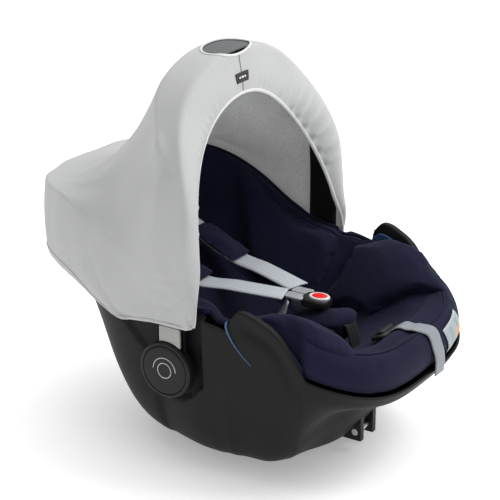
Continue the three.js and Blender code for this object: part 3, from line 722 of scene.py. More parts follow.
def hood_raw(s, part):
    """Hood surface before softening: part 0 hem, 1 front fold, 2 rear fold, 5 rim, 6 lower hem."""
    ends = min(s, 1 - s)
    front, rear = handle_run(s, -2.6, HOOD_LOW), handle_run(s, -2.2, HOOD_LOW)
    fold_front = Vector((front[0], arch_front(front[1]) - 4 - 4 * smooth(260, 219, front[1]), front[1]))
    fold_rear = Vector((rear[0], arch_rear(rear[1]) + 3, rear[1]))
    if part <= 1:
        p = hood_hem(s).lerp(fold_front, part)
        p.y -= 11 * sin(part * pi) ** 0.7 * smooth(0.02, 0.1, ends) * smooth(560, 400, p.z)
        return p
    if part <= 2:
        return fold_front.lerp(fold_rear, part - 1)
    rim = hood_rim_plan(s, 0.13, mix(7, 4.5, smooth(0.1, 0.25, ends)))
    rim.z = mix(210, through(SEAT_EDGE, rim.y) + 7 + 12 * smooth(100, 230, rim.y), smooth(0, 0.14, ends))
    if part <= 5:
        k = (part - 2) / 3
        p = fold_rear.lerp(rim, k)
        p.z -= HOOD_SAG * smooth(0.08, 0.4, ends) * sin(k * pi) ** 0.8
        p.x *= 1 - 0.05 * sin(k * pi) * smooth(0.1, 0.2, ends)
        return p
    low = hood_rim_plan(s, 0.2, 5)
    low.z = through(LOW_HEM, ends)
    k = part - 5
    p = rim.lerp(low, k)
    return p + Vector((p.x, p.y, 0)).normalized() * 4 * sin(k * pi)


# pleats that the hem's elastic draws: (share along the hood, width, depth in mm, reach of the pleat)
PLEATS = [(0.300, 0.0030, 1.7, 0.50), (0.316, 0.0026, 1.4, 0.42), (0.333, 0.0030, 1.8, 0.46),
          (0.349, 0.0026, 1.3, 0.40), (0.366, 0.0034, 1.6, 0.42), (0.384, 0.0028, 1.2, 0.36),
          (0.405, 0.0032, 1.3, 0.40), (0.430, 0.0030, 0.9, 0.30), (0.262, 0.0040, 1.5, 0.40),
          (0.243, 0.0036, 1.2, 0.36), (0.224, 0.0040, 1.4, 0.40), (0.205, 0.0034, 1.0, 0.34),
          (0.186, 0.0042, 1.3, 0.36), (0.560, 0.0030, 1.0, 0.55), (0.578, 0.0026, 0.9, 0.60),
          (0.597, 0.0030, 1.1, 0.55), (0.640, 0.0034, 1.6, 0.62), (0.660, 0.0030, 1.3, 0.52),
          (0.682, 0.0050, 2.6, 0.95), (0.704, 0.0060, 3.2, 1.00), (0.729, 0.0060, 3.4, 1.00),
          (0.755, 0.0060, 3.0, 1.00), (0.782, 0.0060, 2.6, 0.95), (0.808, 0.0050, 1.8, 0.85)]
HOOD_COLUMNS = 380
LATTICE_STEPS = 30          # rows of the hood's lattice to each part
LATTICE = []


def hood_lattice():
    """Raw hood surface on a fine lattice, averaged across its folds so that they come out rounded."""
    if not LATTICE:
        last = 6 * LATTICE_STEPS
        for i in range(HOOD_COLUMNS + 1):
            raw = [hood_raw(i / HOOD_COLUMNS, j / LATTICE_STEPS) for j in range(last + 1)]
            soft = []
            for j in range(last + 1):
                reach = min(5 if j < 1.6 * LATTICE_STEPS else 2 if j < 4.5 * LATTICE_STEPS else 3, j, last - j)
                weights = [reach + 1 - abs(d) for d in range(-reach, reach + 1)]
                total = sum((raw[j + d] * w for d, w in zip(range(-reach, reach + 1), weights)), Vector())
                soft.append(total / sum(weights))
            LATTICE.append(soft)
    return LATTICE


def hood_point(s, part):
    """Hood surface with its folds rounded."""
    lattice = hood_lattice()
    a, b = clamp(s) * HOOD_COLUMNS, clamp(part / 6) * 6 * LATTICE_STEPS
    i, j = min(HOOD_COLUMNS - 1, int(a)), min(6 * LATTICE_STEPS - 1, int(b))
    near, far = lattice[i], lattice[i + 1]
    return near[j].lerp(near[j + 1], b - j).lerp(far[j].lerp(far[j + 1], b - j), a - i)


def hood_relief(s, part):
    """Height of the hood's pleats and slack over its smooth surface, in mm."""
    lift = 0.0
    if part < 1.1:
        for centre, width, depth, reach in PLEATS:
            slant = 0.012 * part * (1 if s > 0.5 else -1)
            fall = smooth(reach, 0.0, part) * smooth(0.05, 0.17, part)
            middle = centre + slant
            lift += 1.9 * depth * fall * (hump(s, middle, width) - 0.7 * hump(s, middle + width * 1.9, width))
    ends = min(s, 1 - s)
    if 1.9 < part < 6:
        lift += 2.2 * noise.noise(Vector((s * 16, part * 0.55, 3.1))) * smooth(1.9, 2.6, part) * smooth(6, 5.5, part)
    if part > 5:
        lift += 0.9 * noise.noise(Vector((s * 46, part * 0.8, 5))) * smooth(5.1, 6, part)
    if ends < 0.2 and 1 <= part <= 2:
        lift += 0.8 * noise.noise(Vector((s * 60, part * 2, 8)))
    lift += 6.5 * hump(s, 0.272, 0.02) * hump(part, 1.9, 0.3) - 2.2 * hump(s, 0.247, 0.009) * hump(part, 1.6, 0.25)
    return lift


HOLE_CENTRE, HOLE_HALF = (0.0, 19.0), (47.0, 28.0)     # grip opening, mm from the top of the front fold
HOOD_ARC = 1190.0                                       # mm of hood along s at the handle's top
DOWN_FRONT, OVER_TOP = 67.0, 54.0                       # mm from hem to front fold, from front to rear fold


def hood_to_flat(s, part):
    down = (part - 1) * (DOWN_FRONT if part < 1 else OVER_TOP)
    return ((s - 0.5) * HOOD_ARC - HOLE_CENTRE[0], down - HOLE_CENTRE[1])


def flat_to_hood(across, down):
    down += HOLE_CENTRE[1]
    return 0.5 + (across + HOLE_CENTRE[0]) / HOOD_ARC, 1 + down / (DOWN_FRONT if down < 0 else OVER_TOP)


def hood_normal(s, part):
    ds = hood_point(min(1, s + 0.003), part) - hood_point(max(0, s - 0.003), part)
    dp = hood_point(s, min(6, part + 0.02)) - hood_point(s, max(0, part - 0.02))
    n = ds.cross(dp)
    return n.normalized() if n.length > 1e-9 else Vector((0, 0, 1))


def hood_surface(s, part, lift=0.0):
    """Point of the hood with its pleats and slack, lift mm above the cloth."""
    s, part = clamp(s), clamp(part / 6) * 6
    return hood_point(s, part) + hood_normal(s, part) * (hood_relief(s, part) + lift)


HOOD_ROWS = [(0.0, 0.0), (0.2, 1.0), (0.36, 2.0), (0.82, 5.0), (1.0, 6.0)]


def hood_part(v):
    """Rows are closer together on the front panel and over the handle than on the long back."""
    for (v0, p0), (v1, p1) in zip(HOOD_ROWS, HOOD_ROWS[1:]):
        if v <= v1:
            return mix(p0, p1, (v - v0) / (v1 - v0))
    return 6.0


def hood_mesh():
    bm = bmesh.new()
    bmesh.ops.create_grid(bm, x_segments=HOOD_COLUMNS, y_segments=96, size=0.5)
    layer = bm.loops.layers.uv.new("cloth")
    where = {}
    for vert in bm.verts:
        where[vert] = (clamp(vert.co.x + 0.5), hood_part(clamp(vert.co.y + 0.5)))

    def radius(vert):
        across, down = hood_to_flat(*where[vert])
        return hypot(across / HOLE_HALF[0], down / HOLE_HALF[1])

    inside = [f for f in bm.faces if sum(radius(v) for v in f.verts) / 4 < 1]
    bmesh.ops.delete(bm, geom=inside, context="FACES")
    for vert in bm.verts:
        if vert.is_boundary and radius(vert) < 1.6:
            across, down = hood_to_flat(*where[vert])
            r = radius(vert)
            where[vert] = flat_to_hood(across / r, down / r)
    for face in bm.faces:
        for loop in face.loops:
            s, part = where[loop.vert]
            loop[layer].uv = (s * 1.2, part * 0.1)
    for vert in bm.verts:
        vert.co = place(hood_surface(*where[vert]))
    return bm


# ------------------------------------------------------------------ shader building blocks
def new_material(name, **settings):
    """Material with plain values set on its shader: a setting is a socket's name with underscores."""
    material = bpy.data.materials.new(name)
    material.use_nodes = True
    tree = material.node_tree
    shader = tree.nodes["Principled BSDF"]
    for key, value in settings.items():
        shader.inputs[key.replace("_", " ")].default_value = value
    return material, tree, shader


def math_node(tree, operation, *operands):
    """Math node whose operands are numbers or sockets; gives its result's socket."""
    made = tree.nodes.new("ShaderNodeMath")
    made.operation = operation
    for socket, operand in zip(made.inputs, operands):
        if isinstance(operand, (int, float)):
            socket.default_value = operand
        else:
            tree.links.new(operand, socket)
    return made.outputs[0]


def texture(tree, kind, vector, **inputs):
    """Texture node at a vector socket; an input is a number or a socket."""
    made = tree.nodes.new("ShaderNodeTex" + kind)
    tree.links.new(vector, made.inputs["Vector"])
    for key, value in inputs.items():
        if isinstance(value, (int, float)):
            made.inputs[key].default_value = value
        else:
            tree.links.new(value, made.inputs[key])
    return made


def new_group(name, inputs, vector, outputs):
    """Empty shader group with its named sockets: (group, its input sockets, its output sockets)."""
    group = bpy.data.node_groups.new(name, "ShaderNodeTree")
    for label, default in inputs:
        socket = group.interface.new_socket(name=label, in_out="INPUT", socket_type="NodeSocketFloat")
        socket.default_value = default
    if vector:
        group.interface.new_socket(name="Vector", in_out="INPUT", socket_type="NodeSocketVector")
    for label in outputs:
        group.interface.new_socket(name=label, in_out="OUTPUT", socket_type="NodeSocketFloat")
    entry, leave = group.nodes.new("NodeGroupInput"), group.nodes.new("NodeGroupOutput")
    return group, entry.outputs, leave.inputs


def weave_group():
    """Knit or mélange cloth: a speckle for the colour and a height for the bump."""
    group, given, result = new_group(
        "cloth_weave", (("Stitches", 900.0), ("Speckle", 260.0), ("Speckle Depth", 0.2)), True, ("Shade", "Height"))
    stitch = texture(group, "Voronoi", given["Vector"], Scale=given["Stitches"])
    speckle = texture(group, "Noise", given["Vector"], Scale=given["Speckle"], Detail=3.0)
    broad = texture(group, "Noise", given["Vector"], Scale=14.0, Detail=2.0)
    both = math_node(group, "ADD", speckle.outputs["Fac"], broad.outputs["Fac"])
    shade = math_node(group, "MULTIPLY_ADD", math_node(group, "SUBTRACT", both, 1.0), given["Speckle Depth"], 1.0)
    group.links.new(shade, result["Shade"])
    group.links.new(stitch.outputs["Distance"], result["Height"])
    return group


def grain_group():
    """Moulded plastic: fine eroded texture and slow changes of gloss."""
    group, given, result = new_group(
        "moulded_grain", (("Grain", 1400.0), ("Gloss", 0.5), ("Gloss Change", 0.08)), False,
        ("Roughness", "Height", "Dust"))
    where = group.nodes.new("ShaderNodeTexCoord").outputs["Object"]
    fine = texture(group, "Noise", where, Scale=given["Grain"], Detail=2.0)
    broad = texture(group, "Noise", where, Scale=9.0, Detail=5.0)
    gloss = math_node(group, "MULTIPLY_ADD", broad.outputs["Fac"], given["Gloss Change"], given["Gloss"])
    group.links.new(gloss, result["Roughness"])
    group.links.new(fine.outputs["Fac"], result["Height"])
    group.links.new(broad.outputs["Fac"], result["Dust"])
    return group


GROUPS = {}


def group_node(tree, name, **inputs):
    """The named group placed in a material with its own values."""
    if name not in GROUPS:
        GROUPS[name] = weave_group() if name == "cloth_weave" else grain_group()
    made = tree.nodes.new("ShaderNodeGroup")
    made.node_tree = GROUPS[name]
    for key, value in inputs.items():
        made.inputs[key.replace("_", " ")].default_value = value
    return made


def bump(tree, shader, height, strength, distance):
    made = tree.nodes.new("ShaderNodeBump")
    made.inputs["Strength"].default_value = strength
    made.inputs["Distance"].default_value = distance
    tree.links.new(height, made.inputs["Height"])
    tree.links.new(made.outputs["Normal"], shader.inputs["Normal"])


def tinted(tree, shader, colour, shade):
    """Base colour multiplied by a shade value."""
    mixer = tree.nodes.new("ShaderNodeMix")
    mixer.data_type, mixer.blend_type = "RGBA", "MULTIPLY"
    mixer.inputs["Factor"].default_value = 1.0
    mixer.inputs["A"].default_value = (*colour, 1)
    tree.links.new(shade, mixer.inputs["B"])
    tree.links.new(mixer.outputs["Result"], shader.inputs["Base Color"])


def cloth_material(name, colour, stitches, speckle, speckle_depth, sheen, depth=0.0004):
    """Knit: sizes of its stitches and speckle, how deep the speckle and the stitches go, and its sheen."""
    if name in bpy.data.materials:
        return bpy.data.materials[name]
    material, tree, shader = new_material(
        name, Roughness=0.95, Sheen_Weight=sheen, Sheen_Roughness=0.5, Specular_IOR_Level=0.2,
        Sheen_Tint=(*[min(1, c * 2 + 0.25) for c in colour], 1))
    weave = group_node(tree, "cloth_weave", Stitches=stitches, Speckle=speckle, Speckle_Depth=speckle_depth)
    where = tree.nodes.new("ShaderNodeTexCoord")
    tree.links.new(where.outputs["Object"], weave.inputs["Vector"])
    tinted(tree, shader, colour, weave.outputs["Shade"])
    bump(tree, shader, weave.outputs["Height"], 0.5, depth)
    return material


def webbing_material(name, colour, stripes, dark=0.75):
    """Woven strap: ribs along it and a herringbone across, from its own cloth map in metres."""
    if name in bpy.data.materials:
        return bpy.data.materials[name]
    material, tree, shader = new_material(name, Roughness=0.62, Sheen_Weight=0.04, Specular_IOR_Level=0.2)
    where = tree.nodes.new("ShaderNodeTexCoord").outputs["UV"]
    ribs = texture(tree, "Wave", where, Scale=stripes, Distortion=0.0)
    picks = texture(tree, "Wave", where, Scale=260.0, Distortion=0.0)
    picks.bands_direction = "Y"
    tinted(tree, shader, colour, math_node(tree, "MULTIPLY_ADD", ribs.outputs["Fac"], 1 - dark, dark))
    bump(tree, shader, math_node(tree, "ADD", ribs.outputs["Fac"], picks.outputs["Fac"]), 0.5, 0.0003)
    return material


def plastic_material(name, colour, gloss, grain=1400.0, depth=0.00012, change=0.08, dust=0.25, metal=0.0, shine=0.4):
    """Moulded plastic or plated steel: roughness, size and depth of its grain, change of gloss, dust and shine."""
    if name in bpy.data.materials:
        return bpy.data.materials[name]
    material, tree, shader = new_material(name, Metallic=metal, Specular_IOR_Level=shine)
    grained = group_node(tree, "moulded_grain", Grain=grain, Gloss=gloss, Gloss_Change=change)
    tree.links.new(grained.outputs["Roughness"], shader.inputs["Roughness"])
    tinted(tree, shader, colour, math_node(tree, "MULTIPLY_ADD", grained.outputs["Dust"], dust, 1 - dust / 2))
    bump(tree, shader, grained.outputs["Height"], 0.4, depth)
    return material


def patch_material(name, ground, layers):
    """Small woven patch painted in boxes on its own map: each layer is a colour and its x and y limits."""
    material, tree, shader = new_material(name, Roughness=0.7)
    where = tree.nodes.new("ShaderNodeTexCoord").outputs
    split = tree.nodes.new("ShaderNodeSeparateXYZ")
    tree.links.new(where["UV"], split.inputs[0])
    result = None
    for paint, x0, x1, y0, y1 in layers:
        box = math_node(tree, "GREATER_THAN", split.outputs["X"], x0)
        for axis, operation, limit in (("X", "LESS_THAN", x1), ("Y", "GREATER_THAN", y0), ("Y", "LESS_THAN", y1)):
            box = math_node(tree, "MULTIPLY", box, math_node(tree, operation, split.outputs[axis], limit))
        over = tree.nodes.new("ShaderNodeMix")
        over.data_type = "RGBA"
        over.inputs["A"].default_value = (*ground, 1)
        if result:
            tree.links.new(result, over.inputs["A"])
        over.inputs["B"].default_value = (*paint, 1)
        tree.links.new(box, over.inputs["Factor"])
        result = over.outputs["Result"]
    tree.links.new(result, shader.inputs["Base Color"])
    bump(tree, shader, texture(tree, "Noise", where["Object"], Scale=2200.0).outputs["Fac"], 0.3, 0.0002)
    return material


# ------------------------------------------------------------------ settings
def colour(name, text, default):
    return FloatVectorProperty(name=name, description=text, subtype="COLOR", size=3, min=0, max=1, default=default)


def length(name, text, default, low, high):
    return FloatProperty(name=name, description=text, default=default, min=low, max=high, subtype="DISTANCE",
                         unit="LENGTH")


class CarSeatColours(bpy.types.PropertyGroup):
    hood: colour("Hood", "Jersey of the sun hood", (0.50, 0.505, 0.505))
    binding: colour("Binding", "Elastic binding of the hood", (0.72, 0.725, 0.725))
    cover: colour("Cover", "Knitted seat cover", (0.0088, 0.0095, 0.0305))
    inlay: colour("Inlay", "Removable inlay", (0.0074, 0.0079, 0.0250))
    shell: colour("Shell", "Moulded shell and handle", (0.0085, 0.0085, 0.0088))
    hub: colour("Hub", "Handle hubs and caps", (0.0095, 0.0095, 0.0098))
    grip: colour("Grip", "Soft grip", (0.13, 0.135, 0.14))
    button: colour("Release button", "Handle release buttons", (0.36, 0.36, 0.34))
    guide: colour("Belt guide", "Lining of the belt guides", (0.035, 0.085, 0.19))
    webbing: colour("Webbing", "Harness straps", (0.60, 0.64, 0.69))
    pull: colour("Pull strap", "Adjuster strap", (0.29, 0.31, 0.34))
    buckle: colour("Buckle", "Buckle and adjuster housings", (0.012, 0.012, 0.012))
    press: colour("Buckle button", "Red buckle button", (0.95, 0.018, 0.016))
    ring: colour("Buckle ring", "Ring round the buckle button", (0.75, 0.77, 0.78))


class CarSeatSizes(bpy.types.PropertyGroup):
    hood_cloth: length("Hood cloth", "Thickness of the hood's jersey", 0.0012, 0.0005, 0.004)
    # Painted glow: strength of the white light that the hood's lining emits, standing in for daylight through the
    # jersey
    hood_painted_glow: FloatProperty(name="Hood glow", description="Daylight that comes through the hood's jersey",
                             default=0.10, min=0, max=1)
    binding: length("Binding", "Width of the hood's elastic binding", 0.0055, 0.002, 0.02)
    piping: length("Piping", "Diameter of the piping on the cover", 0.0032, 0.001, 0.008)
    puff: length("Puff", "Most that a padded piece swells", 0.008, 0.0, 0.02)
    voxel: length("Pad detail", "Cell size used when a pad is blown up", 0.005, 0.003, 0.01)


class CarSeatStage(bpy.types.PropertyGroup):
    floor: colour("Floor", "Pale floor", (0.97, 0.97, 0.97))
    floor_glow: FloatProperty(name="Floor glow", description="Even light from the floor, as on a lit table",
                              default=0.30, min=0, max=2)
    azimuth: FloatProperty(name="Azimuth", description="Camera's angle round the seat", default=radians(-57.4),
                           subtype="ANGLE", unit="ROTATION")
    elevation: FloatProperty(name="Elevation", description="Camera's angle above the floor", default=radians(21.4),
                             subtype="ANGLE", unit="ROTATION")
    distance: FloatProperty(name="Distance", description="Camera to seat", default=2.6, subtype="DISTANCE",
                            unit="LENGTH")
    lens: FloatProperty(name="Lens", description="Focal length", default=129.8, unit="CAMERA")
    key_power: IntProperty(name="Key light", description="Power of the large soft light in watts", default=38,
                           min=0, max=1000)
    overhead: FloatProperty(name="Overhead light", description="Strength of the even light from above", default=1.8,
                            min=0, max=10)


def colours():
    return bpy.context.scene.car_seat_colours


def sizes():
    return bpy.context.scene.car_seat_sizes


def knit(name="navy_knit", dark=False):
    tint = colours().inlay if dark else colours().cover
    return cloth_material(name, tuple(tint), 1500.0, 420.0, 0.5, 0.12, 0.0005)


# ------------------------------------------------------------------ operators
class CARSEAT_OT_stage(bpy.types.Operator):
    """Pale floor, soft lights and the camera"""
    bl_idname = "car_seat.stage"
    bl_label = "Stage"

    def execute(self, context):
        stage = context.scene.car_seat_stage
        bm = bmesh.new()
        bmesh.ops.create_grid(bm, x_segments=1, y_segments=1, size=40.0)
        floor = finish_mesh("floor", bm, None, smooth_faces=False)
        floor.data.materials.append(new_material(
            "pale_floor", Base_Color=(*stage.floor, 1), Emission_Color=(1, 1, 1, 1),
            Emission_Strength=stage.floor_glow, Roughness=0.9)[0])

        world = bpy.data.worlds.new("studio")
        context.scene.world = world
        world.use_nodes = True
        sky = world.node_tree.nodes["Background"].inputs
        sky["Color"].default_value, sky["Strength"].default_value = (1, 1, 1, 1), 0.43
        context.scene.view_settings.view_transform = "Standard"

        target = place((0, 0, 260))
        for name, kind, at, size, strength in (
                ("key", "AREA", (1.1, -1.7, 2.2), 1.5, stage.key_power),
                ("overhead", "SUN", (0.55, 0.25, 2.0), radians(75), stage.overhead)):
            lamp = bpy.data.lights.new(name, kind)
            lamp.energy = strength
            if kind == "AREA":
                lamp.shape, lamp.size = "DISK", size
            else:
                lamp.angle = size
            light = bpy.data.objects.new(name, lamp)
            light.location = at
            light.rotation_euler = (target - Vector(at)).to_track_quat("-Z", "Y").to_euler()
            context.scene.collection.objects.link(light)

        back = Vector((sin(stage.azimuth) * cos(stage.elevation), -cos(stage.azimuth) * cos(stage.elevation),
                       sin(stage.elevation)))
        data = bpy.data.cameras.new("camera")
        data.lens, data.sensor_width = stage.lens, 36.0
        camera = bpy.data.objects.new("camera", data)
        camera.location = target + back * stage.distance
        camera.rotation_euler = (-back).to_track_quat("-Z", "Y").to_euler()
        context.scene.collection.objects.link(camera)
        context.scene.camera = camera
        return {"FINISHED"}


class CARSEAT_OT_shell(bpy.types.Operator):
    """Moulded shell with its belt-guide wings and their blue linings"""
    bl_idname = "car_seat.shell"
    bl_label = "Shell"

    def execute(self, context):
        tint = colours()
        plastic = plastic_material("shell_plastic", tuple(tint.shell), 0.5, shine=0.16)
        finish_mesh("shell_tub", shell_mesh(), "seat", ["shell"], material=plastic)
        lining = plastic_material("guide_lining", tuple(tint.guide), 0.42, dust=0.1)
        for word, side in SIDES:
            def inner(u, v, side=side):
                y = mix(-196, -96, u)
                return Vector((side * (half_width_at(y) - 13.5 - 2 * sin(pi * u)), y,
                               rim_height(y) + mix(-10, max(-6, wing_rise(y) * 0.8 - 6), v)))

            bm = mapped_grid(40, 16, inner)
            piece = finish_mesh(f"guide_lining_{word}", bm, "seat", [f"belt_guide_lining_{word}"],
                                material=lining)
            solidify(piece, 2.0, 0.0)

            edge = [(-93.5, 246, 0.5), (-93, 237, 1.2), (-96, 228, 1.2), (-103.5, 214, 0.9), (-116, 199, 0.5),
                    (-130, 185, -0.4)]
            line = Spline([(side * (pocket_width(y, z) * wall_bulge(y, z) + lift), y, z) for y, z, lift in edge])
            bm = band_round(line.at, 4.2, 3.0, 40, up=lambda t, side=side: Vector((side, 0, 0)), taper=0.72)
            finish_mesh(f"guide_edge_{word}", bm, "seat", material=lining)
        return {"FINISHED"}


class CARSEAT_OT_base_fittings(bpy.types.Operator):
    """Rubber strips, lock bars, brackets, pins and foam keep the frame's shapes and get their own finishes"""
    bl_idname = "car_seat.base_fittings"
    bl_label = "Base fittings"

    def execute(self, context):
        tint = colours()
        finishes = {
            "rubber": plastic_material("strip_rubber", (0.012, 0.012, 0.012), 0.8, 700.0, 0.0003),
            "steel": plastic_material("plated_steel", (0.55, 0.55, 0.56), 0.24, 900.0, 0.00005, 0.12, 0.1, 1.0),
            "hub": plastic_material("hub_plastic", tuple(tint.hub), 0.42, shine=0.25),
            "foam": plastic_material("bead_foam", (0.05, 0.05, 0.055), 0.8, 220.0, 0.0006),
        }
        for name, part in frame["nodes"].items():
            finish = None
            if name.startswith("foot_strip"):
                finish = "rubber"
            elif name.startswith(("pivot_pin", "detent_ring")) or name.endswith("_lock_bar"):
                finish = "steel"
            elif "_lock_ear" in name:
                finish = "hub"
            elif name == "foam_liner":
                finish = "foam"
            if finish:
                part.data.materials.clear()
                part.data.materials.append(finishes[finish])
        return {"FINISHED"}


class CARSEAT_OT_cover(bpy.types.Operator):
    """Fitted navy cover with its piping"""
    bl_idname = "car_seat.cover"
    bl_label = "Cover"

    def execute(self, context):
        cloth = knit()
        cover = finish_mesh("seat_cover_knit", cover_mesh(), "seat", ["seat_cover"], material=cloth)
        solidify(cover, 5.0)

        def piping(t):
            return on_cover(2 * pi * t, 0.873, 1.6)

        def above(t):
            return seat_normal(2 * pi * t, 0.873)

        bm = band_round(piping, sizes().piping * 1000, sizes().piping * 1000, 420, closed=True, up=above)
        finish_mesh("cover_piping", bm, "seat", material=knit("piping_knit"))
        return {"FINISHED"}


class CARSEAT_OT_bolsters(bpy.types.Operator):
    """Thigh and side bolsters, blown up as cloth"""
    bl_idname = "car_seat.bolsters"
    bl_label = "Bolsters"

    def execute(self, context):
        cloth = knit()
        shapes = {
            "thigh_bolster": (on_seat((angle_at(-268), angle_at(-82)), (0.49, 0.90), 0.02), 21.0, 1.4),
            "side_bolster": (on_seat((angle_at(-76), angle_at(150)), (0.49, 0.876), 0.02), 14.5, 1.2),
        }
        for name, (put, crown, lean) in shapes.items():
            for word, side in SIDES:
                bm = pad_solid(put, crown, lean=lean)
                if side < 0:
                    mirrored(bm)
                soft_pad(f"{name}_pad_{word}", bm, f"{name}_{word}", cloth)
        return {"FINISHED"}


class CARSEAT_OT_inlay(bpy.types.Operator):
    """Head pad and newborn inlay"""
    bl_idname = "car_seat.inlay"
    bl_label = "Inlay"

    def execute(self, context):

        def flat(x_range, y_range, taper):
            def put(u, v, height):
                y = mix(*y_range, v)
                x = mix(*x_range, u) * (1 - taper * (2 * v - 1) ** 2)
                step = 2.0
                slope = Vector((-(seat_height(x + step, y) - seat_height(x - step, y)) / (2 * step),
                                -(seat_height(x, y + step) - seat_height(x, y - step)) / (2 * step), 1)).normalized()
                return Vector((x, y, seat_height(x, y))) + slope * (height + 1.0)
            return put

        for name, piece_name, slot, put, crown in (
                ("headrest_pad", "head_pad", "navy", flat((-88, 88), (160, 242), 0.12), 15.0),
                ("seat_inlay", "newborn_inlay", "navy_dark", flat((-94, 94), (-124, 152), 0.10), 18.0)):
            cloth = knit("inlay_knit", dark=True) if slot == "navy_dark" else knit()
            soft_pad(piece_name, pad_solid(put, crown, 44, 60), name, cloth)
        return {"FINISHED"}


class CARSEAT_OT_hood(bpy.types.Operator):
    """Stretch sun hood with its bindings, centre seam and tag"""
    bl_idname = "car_seat.hood"
    bl_label = "Sun hood"

    def execute(self, context):
        tint = colours()
        jersey = cloth_material("hood_jersey", tuple(tint.hood), 1900.0, 520.0, 0.16, 0.25, 0.0003)
        elastic = cloth_material("hood_elastic", tuple(tint.binding), 1200.0, 500.0, 0.06, 0.3, 0.0004)
        thread = cloth_material("seam_thread", (0.22, 0.22, 0.22), 1500.0, 500.0, 0.1, 0.1)
        hood = finish_mesh("sun_hood_jersey", hood_mesh(), None, ["sun_hood"], material=jersey)
        # Painted glow: the lining is the hood's jersey with a white emission added, standing in for daylight through
        # the cloth
        lining = cloth_material("hood_lining", tuple(tint.hood), 1900.0, 420.0, 0.9, 0.1, 0.0003)
        painted_glow_shader = lining.node_tree.nodes["Principled BSDF"]
        painted_glow_shader.inputs["Emission Color"].default_value = (1, 1, 1, 1)
        painted_glow_shader.inputs["Emission Strength"].default_value = sizes().hood_painted_glow
        hood.data.materials.append(lining)
        solidify(hood, sizes().hood_cloth * 1000).material_offset = 1
        width = sizes().binding * 1000

        edge = width * 0.42 / DOWN_FRONT

        def front_hem(t):
            return hood_surface(mix(0.012, 0.988, t), edge, 0.3)

        def low_path(t):
            """Lower hem from the front corner under the right leg, round the head end, to the left corner."""
            if t < 0.14:
                return 0.004, mix(0.03, 5.9, (t / 0.14) ** 0.9)
            if t > 0.86:
                return 0.996, mix(0.03, 5.9, ((1 - t) / 0.14) ** 0.9)
            return mix(0.004, 0.996, (t - 0.14) / 0.72), 5.93

        def low_hem(t):
            spots = [low_path(clamp(t + d)) for d in (-0.008, -0.004, 0, 0.004, 0.008)]
            return sum((hood_surface(s, part, 0.2) for s, part in spots), Vector()) / len(spots)

        def hole(t):
            a = 2 * pi * t
            s, part = flat_to_hood(HOLE_HALF[0] * 1.02 * cos(a), HOLE_HALF[1] * 1.02 * sin(a))
            return hood_surface(s, part, 0.3)

        def hole_up(t):
            a = 2 * pi * t
            return hood_normal(*flat_to_hood(HOLE_HALF[0] * cos(a), HOLE_HALF[1] * sin(a)))

        trims = [
            ("front_binding", band_round(front_hem, width, 2.8, 320,
                                         up=lambda t: hood_normal(mix(0.012, 0.988, t), edge)), elastic),
            ("low_binding", band_round(low_hem, width, 2.6, 420,
                                       up=lambda t: hood_normal(*low_path(t))), jersey),
            ("grip_binding", band_round(hole, width * 0.7, 2.6, 96, closed=True, up=hole_up), elastic),
            ("centre_seam", band_round(lambda t: hood_surface(0.5, mix(0.86, 0.06, t), 0.25), 1.6, 1.2, 40,
                                       up=lambda t: hood_normal(0.5, mix(0.86, 0.06, t))), thread),
        ]
        made = [finish_mesh(name, bm, None, material=cloth) for name, bm, cloth in trims]
        for piece in [hood, *made]:
            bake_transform(piece)

        def tag(u, v):
            s = 0.5 + (u - 0.5) * 42 / HOOD_ARC
            return hood_surface(s, 0.37 + (v - 0.5) * 13.5 / DOWN_FRONT, 1.2)

        black, thread_white = (0.006, 0.006, 0.006), (0.70, 0.71, 0.71)
        piece = finish_mesh("hood_tag_woven", mapped_grid(12, 8, tag), "handle", ["hood_tag"],
                            material=patch_material("tag_cloth", black, [
                                ((0.10, 0.10, 0.10), 0.07, 0.93, 0.14, 0.86), (black, 0.09, 0.91, 0.18, 0.82),
                                (thread_white, 0.24, 0.36, 0.40, 0.60), (thread_white, 0.42, 0.58, 0.40, 0.60),
                                (thread_white, 0.64, 0.76, 0.40, 0.60)]))
        solidify(piece, 0.9)
        return {"FINISHED"}


